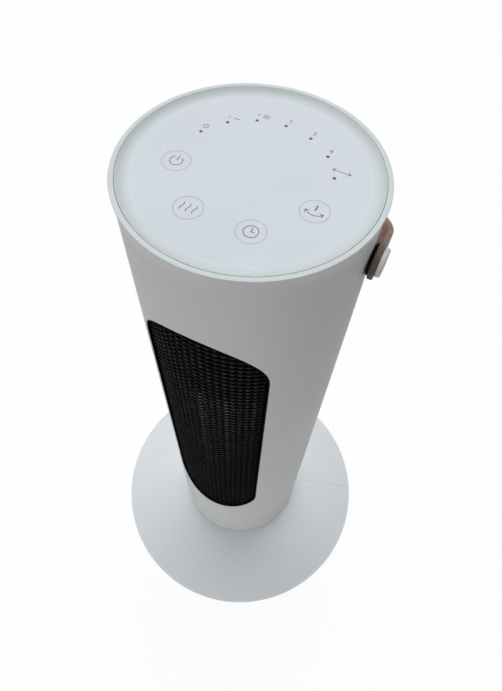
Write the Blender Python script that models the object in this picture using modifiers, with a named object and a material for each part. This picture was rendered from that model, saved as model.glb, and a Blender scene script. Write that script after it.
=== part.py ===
"""A tower fan heater that swings on a round domed base, with a strap handle, built piece by piece.

Metres, +Z up. The front of the tower is towards -Y. The origin is on the floor, on the tower's swing axis.
Each piece is one object, parented to the empty of the body that it moves with.
"""
import math

import bmesh
import bpy
from mathutils import Matrix

MM = 0.001
FULL_TURN = 2 * math.pi
QUARTER_TURN = math.pi / 2

# Fits
SEAT_GAP = 0.3 * MM            # between pieces that touch on the real object
CUT_OVERRUN = 1.0 * MM         # how far a cutter runs past the face that it opens
BOND_DEPTH = 0.6 * MM          # how far two shapes reach into each other before they are joined
MERGE_DISTANCE = 0.01 * MM     # points nearer than this become one

# Facets of round shapes
FINE_STEPS = 48
ROUND_STEPS = 32
SMALL_STEPS = 14
SCREW_STEPS = 8

# Base: a shallow dome in two halves over a flat plate
BASE_RADIUS = 157.5 * MM
BASE_FLAT_INSET = 2.0 * MM     # from the tower's edge in to the dome's flat top
BASE_TOP = 32.0 * MM
BASE_EDGE_TOP = 4.5 * MM
BASE_EDGE_BOTTOM = 1.5 * MM
BASE_WALL = 2.5 * MM
BASE_SEAM = 0.3 * MM
BASE_TURN = math.radians(23.5)  # the base stands turned under the tower, by this angle
DOME_BANDS = 4

PLATE_BOTTOM = 1.8 * MM
PLATE_THICKNESS = 2.5 * MM
PLATE_INSET = 6.0 * MM         # from the base's edge to the plate's
FOOT_RADIUS = 9.0 * MM
FOOT_INSET = 22.5 * MM         # from the base's edge to the feet
FOOT_ANGLES = [math.radians(a) for a in (45, 135, 225, 315)]
FOOT_NAMES = ["foot_rear_right", "foot_rear_left", "foot_front_left", "foot_front_right"]

# Screws
SCREW_SHANK_RADIUS = 1.5 * MM
SCREW_HEAD_RADIUS = 3.0 * MM
SCREW_HEAD_HEIGHT = 1.2 * MM
SCREW_LENGTH = 9.0 * MM
SCREW_BOSS_RADIUS = 4.0 * MM
BASE_SCREW_INSET = 39.5 * MM   # from the base's edge to its screws
BASE_SCREW_ANGLES = [math.radians(a) for a in (50, 130, 230, 310)]

# Pedestal: the fixed disc and the hollow spindle
SPINDLE_RADIUS = 16.0 * MM
SPINDLE_BORE_RADIUS = 11.0 * MM
PEDESTAL_MARGIN = 2.0 * MM     # from the bearing ring's edge to the pedestal's
PEDESTAL_THICKNESS = 3.0 * MM
STUB_RADIUS = 22.0 * MM
STUB_TAIL = 2.0 * MM           # the stub's reach below the hub nut
HUB_NUT_RADIUS = 31.0 * MM
HUB_NUT_HEIGHT = 6.0 * MM
BEARING_SCREW_CLEARANCE = 6.8 * MM
BEARING_WIDTH = 12.0 * MM
BEARING_THICKNESS = 2.0 * MM
WASHER_RADIUS = 24.0 * MM
WASHER_THICKNESS = 1.5 * MM

# Swing gears
GEAR_MODULE = 1.5 * MM
GEAR_TEETH = 48
PINION_TEETH = 12
GEAR_THICKNESS = 6.0 * MM
GEAR_BACKLASH = 0.9 * MM       # taken off each tooth at the pitch circle
GEAR_TIP_CUT = 0.35 * MM       # taken off each tooth's height
GEAR_ROOT_SHARE = 1.25         # depth of a tooth below the pitch circle, in modules
GEAR_PRESSURE_ANGLE = math.radians(20)
SPINDLE_STAND = 2.0 * MM       # the spindle's reach above the gear
PINION_SHAFT_RADIUS = 3.0 * MM
PINION_SHAFT_REACH = 8.0 * MM

# Tip-over switch and mains bushing in the base
SWITCH_SIZE = (22.0 * MM, 12.0 * MM, 9.0 * MM)
SWITCH_INSET = 62.5 * MM       # from the base's edge to the switch
PLUNGER_RADIUS = 3.0 * MM
PLUNGER_REACH = 4.0 * MM       # the plunger's reach into the switch
PLUNGER_LIFT = 0.3 * MM        # the plunger's end above the floor
BUSHING_RADIUS = 5.5 * MM
BUSHING_BORE_RADIUS = 3.6 * MM
BUSHING_LENGTH = 32.0 * MM
BUSHING_EDGE_INSET = 8.0 * MM  # from the base's edge to the bushing's mouth
BUSHING_LIFT = 1.5 * MM        # above the base plate
BUSHING_COLLAR_RADIUS = 6.9 * MM
BUSHING_COLLAR_LENGTH = 2.0 * MM

# Tower shells
TOWER_RADIUS = 74.0 * MM
TOWER_WALL = 2.5 * MM
TOWER_LIFT = 1.0 * MM          # the shells' lower edge above the dome
SEAM_ANGLE = math.radians(106)  # from the front to each seam between the shells
SHELL_SEAM = 0.4 * MM
FRONT_WALL_STEPS = 36
REAR_WALL_STEPS = 24

# Outlet: an opening with straight sides and round ends
OUTLET_SIDE_INSET = 28.8 * MM  # from the tower's side, seen from the front, to the outlet
OUTLET_TOP_DROP = 64.5 * MM    # from the rim's top to the outlet's
OUTLET_BOTTOM = 153.0 * MM
OUTLET_END_STEPS = 14

# Front grille
GRILLE_THICKNESS = 1.8 * MM
GRILLE_LAP = 4.0 * MM          # how far the grille reaches behind the shell all round
GRILLE_COLUMNS = 18
GRILLE_RIB = 1.6 * MM
GRILLE_BORDER = 2.2 * MM
GRILLE_CROSSBARS = 2
GRILLE_CROSSBAR_HEIGHT = 3.0 * MM

# Intake slots in the rear shell
INTAKE_COLUMNS = 11
INTAKE_ROWS = 3
INTAKE_PITCH = math.radians(7.0)
INTAKE_SLOT_WIDTH = 4.2 * MM
INTAKE_BOTTOM = 190.0 * MM
INTAKE_TOP_DROP = 22.3 * MM    # from the duct's roof to the intake's top
INTAKE_ROW_BAR = 8.0 * MM

# Top: rim, dished panel, board
RIM_OVERHANG = 1.0 * MM        # the rim stands proud of the shells by this
RIM_TOP = 576.0 * MM
RIM_ROUND = 0.8 * MM
RIM_WIDTH = 3.8 * MM
RIM_STEP_HEIGHT = 9.3 * MM     # from the rim's top to the shell's
RIM_SPIGOT_WALL = 2.0 * MM
RIM_SPIGOT_REACH = 10.0 * MM
RIM_SHELF_WIDTH = 7.2 * MM
RIM_SHELF_DROP = 8.0 * MM
RIM_SHELF_THICKNESS = 2.5 * MM
PANEL_LIP_DROP = 0.4 * MM      # the panel's lip below the rim's top
PANEL_LIP_WIDTH = 0.7 * MM
PANEL_DISH = 2.6 * MM          # the flat of the panel below the rim's top
PANEL_COVE_WIDTH = 6.5 * MM    # from the rim's inner side to the panel's flat
PANEL_THICKNESS = 2.0 * MM
PANEL_SKIRT_WALL = 2.0 * MM
PANEL_COVE_STEPS = 4
BOARD_THICKNESS = 1.6 * MM

# Chassis and duct
DISC_CLEARANCE = 0.45 * MM     # between a disc's edge and the shells
CHASSIS_THICKNESS = 3.0 * MM
DUCT_ROOF_DROP = 79.2 * MM     # from the outlet's top to the duct's roof
DUCT_PLATE_THICKNESS = 3.0 * MM
DUCT_SHEET = 1.5 * MM
SHELL_BOSS_INSET = 6.2 * MM    # from the shells' outside to the bosses' middle
SHELL_BOSS_HEIGHT = 14.0 * MM
FRONT_BOSS_ANGLE = math.radians(62)   # from the front
REAR_BOSS_ANGLE = math.radians(35)    # from the back

# Fan: an upright cross-flow wheel behind the heater
FAN_Y = 16.0 * MM
FAN_RADIUS = 28.0 * MM
FAN_BLADES = 16
FAN_BLADE_DEPTH = 7.5 * MM
FAN_BLADE_THICKNESS = 1.1 * MM
FAN_BLADE_LEAN = math.radians(24)
FAN_BLADE_STEPS = 2
FAN_DISC_THICKNESS = 2.0 * MM
FAN_BOTTOM = 157.0 * MM
FAN_TOP_GAP = 6.3 * MM         # from the wheel's top to the duct's roof
FAN_BOSS_RADIUS = 7.0 * MM
FAN_BOSS_REACH = 5.0 * MM      # below and above the end discs
FAN_SHAFT_RADIUS = 3.0 * MM
FAN_SHAFT_GRIP = 12.0 * MM     # depth of the bore in a boss
FAN_BOSS_FLOOR = 2.0 * MM      # solid end behind that bore
MOTOR_RADIUS = 30.0 * MM
MOTOR_HEIGHT = 40.0 * MM
MOTOR_BORE_DEPTH = 28.0 * MM
BEARING_BUSH_RADIUS = 8.0 * MM
BEARING_BUSH_HEIGHT = 8.0 * MM
FLOOR_SHAFT_HOLE_RADIUS = 6.0 * MM
DUCT_CLEARANCE = 3.0 * MM      # between the wheel and the nearest duct sheet
DUCT_MOUTH_MARGIN = 0.5 * MM   # the duct's mouth is wider than the heater's caps by this on each side
SCROLL_GROWTH = 13.0 * MM
SCROLL_START = math.radians(80)
SCROLL_END = math.radians(205)
SCROLL_STEPS = 12
TONGUE_ANGLE = math.radians(-5)

# Heating element
CORE_INSET = 24.0 * MM         # from the tower's front to the core's middle
CORE_DEPTH = 12.0 * MM
CAP_CLEARANCE = 0.85 * MM      # from the caps' front corners to the grille
CAP_END_MARGIN = 0.4 * MM      # from a rail to the end of the cap
CAP_DEPTH = 16.0 * MM
CAP_HEIGHT = 10.0 * MM
RAIL_THICKNESS = 1.5 * MM
BAR_WIDTH = 6.0 * MM
BAR_COUNT = 2
FIN_PITCH = 16.0 * MM          # height of one loop of the corrugated strip
FIN_LAND = 2.6 * MM            # the flat of each bend, which lies on a bar
FIN_SHEET = 0.6 * MM
CUTOUT_RADIUS = 7.0 * MM
CUTOUT_HEIGHT = 8.0 * MM

# Boards and baffle
BAFFLE_INSET = 8.0 * MM        # from the tower's outside
BAFFLE_HALF_ANGLE = math.radians(46)
BAFFLE_TOP_DROP = 26.0 * MM    # below the rim's top
POWER_BOARD_SIZE = (90.0 * MM, 1.6 * MM, 78.0 * MM)
POWER_BOARD_Y = 2.0 * MM
RELAY_SIZE = (18.0 * MM, 15.0 * MM, 19.0 * MM)
RELAY_X = (-28.0 * MM, -4.0 * MM)
RELAY_LIFT = 22.0 * MM
CAPACITOR_SIZE = (26.0 * MM, 11.0 * MM, 17.0 * MM)
CAPACITOR_X = 24.0 * MM
CAPACITOR_LIFT = 48.0 * MM

# Swing motor on the chassis
SWING_MOTOR_CLEARANCE = 2.5 * MM  # from the motor to the rear shell
SWING_MOTOR_HEIGHT = 20.0 * MM
SWING_MOTOR_STAND = 3.0 * MM   # the motor's face above the gear
EAR_OFFSET = 5.0 * MM          # from the motor's side to the middle of each ear's hole
EAR_WIDTH = 10.0 * MM
EAR_THICKNESS = 1.6 * MM
POST_RADIUS = 4.0 * MM
MOTOR_SCREW_HEAD_HEIGHT = 1.6 * MM

# Strap and its studs
STUD_DROP = 31.7 * MM          # below the rim's top
STRAP_THICKNESS = 3.3 * MM
STRAP_WIDTH = 22.0 * MM
STRAP_LEG = 21.5 * MM
STRAP_DROOP = math.radians(30.5)
STRAP_END_STEPS = 4
STRAP_BEND_STEPS = 22
STRAP_HOLE_CLEARANCE = 0.4 * MM
STUD_HEAD_RADIUS = 8.5 * MM
STUD_HEAD_HEIGHT = 2.9 * MM
STUD_HEAD_ROUND = 0.8 * MM
STUD_SHANK_RADIUS = 4.0 * MM
STUD_REACH = 8.0 * MM          # behind the shell's outer face
STUD_WASHER_RADIUS = 7.0 * MM
STUD_WASHER_THICKNESS = 1.3 * MM

# Heights and radii that follow from the sizes above
BASE_FLAT_RADIUS = TOWER_RADIUS - BASE_FLAT_INSET
PLATE_TOP = PLATE_BOTTOM + PLATE_THICKNESS
PLATE_RADIUS = BASE_RADIUS - PLATE_INSET
FOOT_HEIGHT = PLATE_BOTTOM - SEAT_GAP
FOOT_CIRCLE_RADIUS = BASE_RADIUS - FOOT_INSET
BASE_SCREW_CIRCLE_RADIUS = BASE_RADIUS - BASE_SCREW_INSET
SWITCH_CIRCLE_RADIUS = BASE_RADIUS - SWITCH_INSET
SHELL_BOSS_CIRCLE_RADIUS = TOWER_RADIUS - SHELL_BOSS_INSET
BEARING_OUTER_RADIUS = SHELL_BOSS_CIRCLE_RADIUS - SCREW_HEAD_RADIUS - BEARING_SCREW_CLEARANCE
BEARING_INNER_RADIUS = BEARING_OUTER_RADIUS - BEARING_WIDTH
PEDESTAL_RADIUS = BEARING_OUTER_RADIUS + PEDESTAL_MARGIN
HUB_HOLE_RADIUS = STUB_RADIUS + SEAT_GAP
HUB_NUT_TOP = BASE_TOP - BASE_WALL - SEAT_GAP
HUB_NUT_BOTTOM = HUB_NUT_TOP - HUB_NUT_HEIGHT
PEDESTAL_BOTTOM = BASE_TOP + SEAT_GAP
PEDESTAL_TOP = PEDESTAL_BOTTOM + PEDESTAL_THICKNESS
BEARING_BOTTOM = PEDESTAL_TOP + SEAT_GAP
CHASSIS_BOTTOM = BEARING_BOTTOM + BEARING_THICKNESS + SEAT_GAP
CHASSIS_TOP = CHASSIS_BOTTOM + CHASSIS_THICKNESS
WASHER_BOTTOM = CHASSIS_TOP + SEAT_GAP
GEAR_BOTTOM = WASHER_BOTTOM + WASHER_THICKNESS + SEAT_GAP
GEAR_TOP = GEAR_BOTTOM + GEAR_THICKNESS
SPINDLE_TOP = GEAR_TOP + SPINDLE_STAND
SPINDLE_FIT_RADIUS = SPINDLE_RADIUS + SEAT_GAP
GEAR_PITCH_RADIUS = GEAR_MODULE * GEAR_TEETH / 2
PINION_PITCH_RADIUS = GEAR_MODULE * PINION_TEETH / 2
PINION_DISTANCE = GEAR_PITCH_RADIUS + PINION_PITCH_RADIUS
TOWER_BOTTOM = BASE_TOP + TOWER_LIFT
INNER_RADIUS = TOWER_RADIUS - TOWER_WALL
DISC_RADIUS = INNER_RADIUS - DISC_CLEARANCE
SWING_MOTOR_BOTTOM = GEAR_TOP + SWING_MOTOR_STAND
SWING_MOTOR_RADIUS = INNER_RADIUS - PINION_DISTANCE - SWING_MOTOR_CLEARANCE
EAR_REACH = SWING_MOTOR_RADIUS + EAR_OFFSET
OUTLET_HALF_WIDTH = TOWER_RADIUS - OUTLET_SIDE_INSET
OUTLET_TOP = RIM_TOP - OUTLET_TOP_DROP
GRILLE_RADIUS = INNER_RADIUS - SEAT_GAP
GRILLE_PITCH = 2 * math.asin((OUTLET_HALF_WIDTH - GRILLE_BORDER) / GRILLE_RADIUS) / GRILLE_COLUMNS
GRILLE_HALF_ANGLE = math.asin((OUTLET_HALF_WIDTH + GRILLE_LAP) / GRILLE_RADIUS) + GRILLE_PITCH / 4
FRONT_BOSS_DIRECTIONS = [-QUARTER_TURN - FRONT_BOSS_ANGLE, -QUARTER_TURN + FRONT_BOSS_ANGLE]
REAR_BOSS_DIRECTIONS = [QUARTER_TURN - REAR_BOSS_ANGLE, QUARTER_TURN + REAR_BOSS_ANGLE]
DUCT_FLOOR_TOP = OUTLET_BOTTOM - GRILLE_LAP - SEAT_GAP
DUCT_FLOOR_BOTTOM = DUCT_FLOOR_TOP - DUCT_PLATE_THICKNESS
DUCT_ROOF_BOTTOM = OUTLET_TOP - DUCT_ROOF_DROP
DUCT_ROOF_TOP = DUCT_ROOF_BOTTOM + DUCT_PLATE_THICKNESS
DUCT_LOW = DUCT_FLOOR_TOP + SEAT_GAP
DUCT_HIGH = DUCT_ROOF_BOTTOM - SEAT_GAP
ROOF_SEAT = DUCT_ROOF_TOP + SEAT_GAP
INTAKE_TOP = DUCT_ROOF_BOTTOM - INTAKE_TOP_DROP
FAN_TOP = DUCT_ROOF_BOTTOM - FAN_TOP_GAP
MOTOR_TOP = DUCT_FLOOR_BOTTOM - SEAT_GAP
CORE_Y = CORE_INSET - TOWER_RADIUS
CAP_FRONT_Y = CORE_Y - CAP_DEPTH / 2
CAP_BACK_Y = CORE_Y + CAP_DEPTH / 2
CAP_HALF_WIDTH = math.sqrt((GRILLE_RADIUS - GRILLE_THICKNESS - CAP_CLEARANCE) ** 2 - CAP_FRONT_Y ** 2)
CORE_HALF_WIDTH = CAP_HALF_WIDTH - CAP_END_MARGIN - RAIL_THICKNESS
DUCT_MOUTH_HALF_WIDTH = CAP_HALF_WIDTH + DUCT_MOUTH_MARGIN
CAP_LOW_TOP = DUCT_LOW + CAP_HEIGHT
CAP_HIGH_BOTTOM = DUCT_HIGH - CAP_HEIGHT
CORE_BOTTOM = CAP_LOW_TOP + SEAT_GAP
CORE_TOP = CAP_HIGH_BOTTOM - SEAT_GAP
BAFFLE_RADIUS = TOWER_RADIUS - BAFFLE_INSET
BAFFLE_TOP = RIM_TOP - BAFFLE_TOP_DROP
RIM_RADIUS = TOWER_RADIUS + RIM_OVERHANG
RIM_BOTTOM = RIM_TOP - RIM_STEP_HEIGHT
RIM_INNER_RADIUS = RIM_RADIUS - RIM_WIDTH
RIM_SHELF_RADIUS = RIM_INNER_RADIUS - RIM_SHELF_WIDTH
SHELF_TOP = RIM_TOP - RIM_SHELF_DROP
SPIGOT_RADIUS = INNER_RADIUS - DISC_CLEARANCE
SHELL_TOP = RIM_BOTTOM - SEAT_GAP
PANEL_RADIUS = RIM_INNER_RADIUS - SEAT_GAP
PANEL_FLAT_RADIUS = RIM_INNER_RADIUS - PANEL_COVE_WIDTH
PANEL_FLAT_TOP = RIM_TOP - PANEL_DISH
PANEL_LIP_TOP = RIM_TOP - PANEL_LIP_DROP
PANEL_BOTTOM = SHELF_TOP + SEAT_GAP
STUD_HEIGHT = RIM_TOP - STUD_DROP
STRAP_INNER_HALF = TOWER_RADIUS + STUD_WASHER_THICKNESS + 2 * SEAT_GAP
STRAP_PATH_RADIUS = STRAP_INNER_HALF + STRAP_THICKNESS / 2
STRAP_HALF_WIDTH = STRAP_WIDTH / 2

# Colours: red, green, blue, then roughness and metallic
WHITE_PLASTIC = ("white_plastic", (0.86, 0.87, 0.87), 0.35, 0.0)
PANEL_GLASS = ("panel_gloss", (0.83, 0.86, 0.89), 0.12, 0.0)
BLACK_PLASTIC = ("black_plastic", (0.03, 0.03, 0.03), 0.55, 0.0)
GREY_PLASTIC = ("grey_plastic", (0.45, 0.46, 0.47), 0.6, 0.0)
NYLON = ("nylon", (0.9, 0.88, 0.82), 0.5, 0.0)
RUBBER = ("rubber", (0.05, 0.05, 0.05), 0.9, 0.0)
STEEL = ("steel", (0.6, 0.6, 0.6), 0.35, 1.0)
ALUMINIUM = ("aluminium", (0.75, 0.76, 0.77), 0.35, 1.0)
HEAT_PLASTIC = ("heat_plastic", (0.1, 0.09, 0.09), 0.7, 0.0)
BOARD_GREEN = ("circuit_board", (0.05, 0.25, 0.12), 0.5, 0.0)
LEATHER = ("leather", (0.2, 0.12, 0.08), 0.6, 0.0)


# Scene helpers

def clear_scene():
    for item in list(bpy.data.objects):
        bpy.data.objects.remove(item, do_unlink=True)


def new_collection(name):
    home = bpy.data.collections.new(name)
    bpy.context.scene.collection.children.link(home)
    return home


def finish_material(finish):
    name, colour, roughness, metallic = finish
    surface = bpy.data.materials.get(name)
    if surface is None:
        surface = bpy.data.materials.new(name)
        surface.use_nodes = True
        shader = surface.node_tree.nodes["Principled BSDF"]
        shader.inputs["Base Color"].default_value = (*colour, 1.0)
        shader.inputs["Roughness"].default_value = roughness
        shader.inputs["Metallic"].default_value = metallic
        surface.diffuse_color = (*colour, 1.0)
    return surface


def new_body(name, location=(0, 0, 0), turn=(0, 0, 0), parent=None):
    body = bpy.data.objects.new(name, None)
    PARTS.objects.link(body)
    body.location = location
    body.rotation_euler = turn
    body.parent = parent
    return body


def new_piece(name, data, finish, body, location=(0, 0, 0), turn=(0, 0, 0)):
    piece = bpy.data.objects.new(name, data)
    PARTS.objects.link(piece)
    piece.parent = body
    piece.location = location
    piece.rotation_euler = turn
    data.materials.append(finish_material(finish))
    return piece


def as_cutter(piece):
    """Moves a piece to the cutters, out of the model."""
    PARTS.objects.unlink(piece)
    CUTTERS.objects.link(piece)
    piece.hide_render = True
    piece.display_type = "WIRE"
    return piece


def boolean(piece, other, operation):
    modifier = piece.modifiers.new(operation.title(), "BOOLEAN")
    modifier.operation = operation
    modifier.object = other
    modifier.solver = "EXACT"
    return piece


def cut(piece, other):
    return boolean(piece, as_cutter(other), "DIFFERENCE")


def join(piece, other):
    return boolean(piece, as_cutter(other), "UNION")


# Shapes

def box(name, size, finish, body, location, turn=(0, 0, 0)):
    """A box whose location is its centre."""
    shape = bmesh.new()
    bmesh.ops.create_cube(shape, size=1)
    bmesh.ops.scale(shape, vec=size, verts=shape.verts)
    data = bpy.data.meshes.new(name)
    shape.to_mesh(data)
    shape.free()
    return new_piece(name, data, finish, body, location, turn)


def pin(name, radius, length, finish, body, location, turn=(0, 0, 0), steps=SMALL_STEPS):
    """A cylinder whose location is its centre."""
    shape = bmesh.new()
    bmesh.ops.create_cone(shape, cap_ends=True, segments=steps, radius1=radius, radius2=radius, depth=length)
    data = bpy.data.meshes.new(name)
    shape.to_mesh(data)
    shape.free()
    return new_piece(name, data, finish, body, location, turn)


def rod(name, radius, bottom, top, finish, body, centre=(0, 0), steps=SMALL_STEPS):
    """An upright cylinder between two heights."""
    return pin(name, radius, top - bottom, finish, body, (*centre, (bottom + top) / 2), steps=steps)


def turned(name, profile, finish, body, location=(0, 0, 0), turn=(0, 0, 0), steps=ROUND_STEPS, angle=FULL_TURN):
    """Turns a profile of (radius, height) points, outer side running down, about Z."""
    closed = profile[0] == profile[-1]
    points = [(radius, 0, height) for radius, height in (profile[:-1] if closed else profile)]
    edges = [(i, i + 1) for i in range(len(points) - 1)]
    if closed:
        edges.append((len(points) - 1, 0))
    data = bpy.data.meshes.new(name)
    data.from_pydata(points, edges, [])
    piece = new_piece(name, data, finish, body, location, turn)
    screw = piece.modifiers.new("Turn", "SCREW")
    screw.angle = angle
    screw.steps = steps
    screw.render_steps = steps
    screw.use_merge_vertices = angle == FULL_TURN
    screw.merge_threshold = MERGE_DISTANCE
    screw.use_smooth_shade = True
    return piece


def ring(name, inner, outer, bottom, top, finish, body, location=(0, 0, 0), turn=(0, 0, 0), steps=ROUND_STEPS):
    profile = [(inner, top), (outer, top), (outer, bottom), (inner, bottom), (inner, top)]
    return turned(name, profile, finish, body, location, turn, steps)


def disc(name, radius, bottom, top, finish, body, steps=FINE_STEPS):
    return turned(name, [(0, top), (radius, top), (radius, bottom), (0, bottom)], finish, body, steps=steps)


def thicken(piece, thickness):
    """Gives an open surface a wall on its inner side."""
    wall = piece.modifiers.new("Wall", "SOLIDIFY")
    wall.thickness = thickness
    wall.offset = -1
    wall.use_even_offset = True
    return piece


def curved_wall(name, radius, thickness, bottom, top, middle, half_angle, steps, finish, body):
    """A cylinder's wall either side of the direction `middle`."""
    start = middle - half_angle
    profile = [(radius, top), (radius, bottom)]
    piece = turned(name, profile, finish, body, turn=(0, 0, start), steps=steps, angle=2 * half_angle)
    return thicken(piece, thickness)


def prism(name, outlines, thickness, finish, body, location=(0, 0, 0), turn=(0, 0, 0)):
    """A flat outline, with any holes, as a closed solid whose middle plane is at its location."""
    curve = bpy.data.curves.new(name, "CURVE")
    curve.dimensions = "2D"
    curve.fill_mode = "BOTH"
    curve.extrude = thickness / 2
    for outline in outlines:
        spline = curve.splines.new("POLY")
        spline.points.add(len(outline) - 1)
        for point, (x, y) in zip(spline.points, outline):
            point.co = (x, y, 0, 1)
        spline.use_cyclic_u = True
    drawn = bpy.data.objects.new(name + "_outline", curve)
    bpy.context.scene.collection.objects.link(drawn)
    bpy.context.view_layer.update()
    data = bpy.data.meshes.new_from_object(drawn.evaluated_get(bpy.context.evaluated_depsgraph_get()))
    bpy.data.objects.remove(drawn, do_unlink=True)
    data.name = name
    shape = bmesh.new()
    shape.from_mesh(data)
    bmesh.ops.remove_doubles(shape, verts=shape.verts, dist=MERGE_DISTANCE)
    bmesh.ops.recalc_face_normals(shape, faces=shape.faces)
    shape.to_mesh(data)
    shape.free()
    data.materials.clear()
    return new_piece(name, data, finish, body, location, turn)


def sheet(name, line, bottom, top, thickness, finish, body, location=(0, 0, 0), turn=(0, 0, 0)):
    """An upright sheet over a line of (x, y) points."""
    shape = bmesh.new()
    low = [shape.verts.new((x, y, bottom)) for x, y in line]
    edges = [shape.edges.new(pair) for pair in zip(low, low[1:])]
    raised = bmesh.ops.extrude_edge_only(shape, edges=edges)["geom"]
    lifted = [item for item in raised if isinstance(item, bmesh.types.BMVert)]
    bmesh.ops.translate(shape, vec=(0, 0, top - bottom), verts=lifted)
    data = bpy.data.meshes.new(name)
    shape.to_mesh(data)
    shape.free()
    piece = new_piece(name, data, finish, body, location, turn)
    wall = piece.modifiers.new("Wall", "SOLIDIFY")
    wall.thickness = thickness
    wall.offset = 0
    wall.use_even_offset = True
    return piece


def circle_points(radius, steps):
    return [on_circle(radius, FULL_TURN * i / steps) for i in range(steps)]


def on_circle(radius, angle, centre=(0, 0)):
    return (centre[0] + radius * math.cos(angle), centre[1] + radius * math.sin(angle))


def screw_piece(name, head_bottom, body, centre, head_height=SCREW_HEAD_HEIGHT, length=SCREW_LENGTH, up=True):
    """A screw with its head below its shank, or above it where up is False."""
    reach = head_height + length
    profile = [
        (0, reach),
        (SCREW_SHANK_RADIUS, reach),
        (SCREW_SHANK_RADIUS, head_height),
        (SCREW_HEAD_RADIUS, head_height),
        (SCREW_HEAD_RADIUS, 0),
        (0, 0),
    ]
    turn = (0, 0, 0) if up else (math.pi, 0, 0)
    return turned(name, profile, STEEL, body, (*centre, head_bottom), turn, steps=SCREW_STEPS)


# Base

def dome_height(radius):
    share = max(0, (radius - BASE_FLAT_RADIUS) / (BASE_RADIUS - BASE_FLAT_RADIUS))
    return BASE_TOP - (BASE_TOP - BASE_EDGE_TOP) * share ** 2


def dome_profile():
    falling = [BASE_FLAT_RADIUS + (BASE_RADIUS - BASE_FLAT_RADIUS) * i / DOME_BANDS for i in range(DOME_BANDS + 1)]
    profile = [(HUB_HOLE_RADIUS, BASE_TOP)]
    profile += [(radius, dome_height(radius)) for radius in falling]
    profile.append((BASE_RADIUS, BASE_EDGE_BOTTOM))
    return profile


def base_cover(name, side, screw_angles, body):
    """Half of the dome: the rear half where side is 1, and the front half where it is -1."""
    cover = thicken(turned(name, dome_profile(), WHITE_PLASTIC, body, steps=FINE_STEPS), BASE_WALL)
    depth = BASE_RADIUS + CUT_OVERRUN
    other_half = box(name + "_other_half", (2 * depth, depth, 2 * depth), WHITE_PLASTIC, body,
                     (0, side * (BASE_SEAM - depth) / 2, 0))
    cut(cover, other_half)
    boss_top = dome_height(BASE_SCREW_CIRCLE_RADIUS + SCREW_BOSS_RADIUS) - BASE_WALL / 2
    for angle in screw_angles:
        centre = on_circle(BASE_SCREW_CIRCLE_RADIUS, angle)
        boss = rod(name + "_boss", SCREW_BOSS_RADIUS, PLATE_TOP + SEAT_GAP, boss_top, WHITE_PLASTIC, body, centre)
        join(cover, boss)
        hole = rod(name + "_hole", SCREW_SHANK_RADIUS + SEAT_GAP, PLATE_BOTTOM, PLATE_TOP + SCREW_LENGTH,
                   WHITE_PLASTIC, body, centre, SCREW_STEPS)
        cut(cover, hole)
    return cover


def bushing_place():
    """The bushing's mouth, on the base's rear edge, and its height."""
    return BASE_RADIUS - BUSHING_EDGE_INSET, PLATE_TOP + BUSHING_LIFT + BUSHING_COLLAR_RADIUS


def cord_bushing(body):
    mouth, height = bushing_place()
    profile = [
        (BUSHING_BORE_RADIUS, BUSHING_LENGTH),
        (BUSHING_RADIUS, BUSHING_LENGTH),
        (BUSHING_RADIUS, BUSHING_COLLAR_LENGTH),
        (BUSHING_COLLAR_RADIUS, BUSHING_COLLAR_LENGTH),
        (BUSHING_COLLAR_RADIUS, 0),
        (BUSHING_BORE_RADIUS, 0),
        (BUSHING_BORE_RADIUS, BUSHING_LENGTH),
    ]
    return turned("cord_bushing", profile, GREY_PLASTIC, body, (0, mouth - BUSHING_LENGTH, height),
                  (-QUARTER_TURN, 0, 0), steps=SMALL_STEPS)


def bushing_hole(body):
    mouth, height = bushing_place()
    length = BUSHING_LENGTH + CUT_OVERRUN
    return pin("bushing_hole", BUSHING_RADIUS + SEAT_GAP, length, WHITE_PLASTIC, body,
               (0, mouth + CUT_OVERRUN - length / 2, height), (QUARTER_TURN, 0, 0))


def base_plate(body):
    plate = disc("base_plate", PLATE_RADIUS, PLATE_BOTTOM, PLATE_TOP, GREY_PLASTIC, body)
    for angle in BASE_SCREW_ANGLES:
        centre = on_circle(BASE_SCREW_CIRCLE_RADIUS, angle)
        cut(plate, rod("plate_hole", SCREW_SHANK_RADIUS + SEAT_GAP, PLATE_BOTTOM - CUT_OVERRUN,
                       PLATE_TOP + CUT_OVERRUN, GREY_PLASTIC, body, centre, SCREW_STEPS))
        cut(plate, rod("plate_counterbore", SCREW_HEAD_RADIUS + SEAT_GAP, PLATE_BOTTOM - CUT_OVERRUN,
                       PLATE_BOTTOM + SCREW_HEAD_HEIGHT, GREY_PLASTIC, body, centre, SCREW_STEPS))
    cut(plate, rod("plunger_hole", PLUNGER_RADIUS + SEAT_GAP, PLATE_BOTTOM - CUT_OVERRUN,
                   PLATE_TOP + CUT_OVERRUN, GREY_PLASTIC, body, (0, SWITCH_CIRCLE_RADIUS)))
    return plate


def tip_switch(body, plunger_body):
    width, depth, height = SWITCH_SIZE
    bottom = PLATE_TOP + SEAT_GAP
    housing = box("tip_switch", SWITCH_SIZE, BLACK_PLASTIC, body, (0, SWITCH_CIRCLE_RADIUS, bottom + height / 2))
    cut(housing, rod("switch_hole", PLUNGER_RADIUS + SEAT_GAP, bottom - CUT_OVERRUN,
                     bottom + PLUNGER_REACH + SEAT_GAP, BLACK_PLASTIC, body, (0, SWITCH_CIRCLE_RADIUS)))
    rod("tip_plunger", PLUNGER_RADIUS, PLUNGER_LIFT, bottom + PLUNGER_REACH, NYLON, plunger_body)
    return housing


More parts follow.
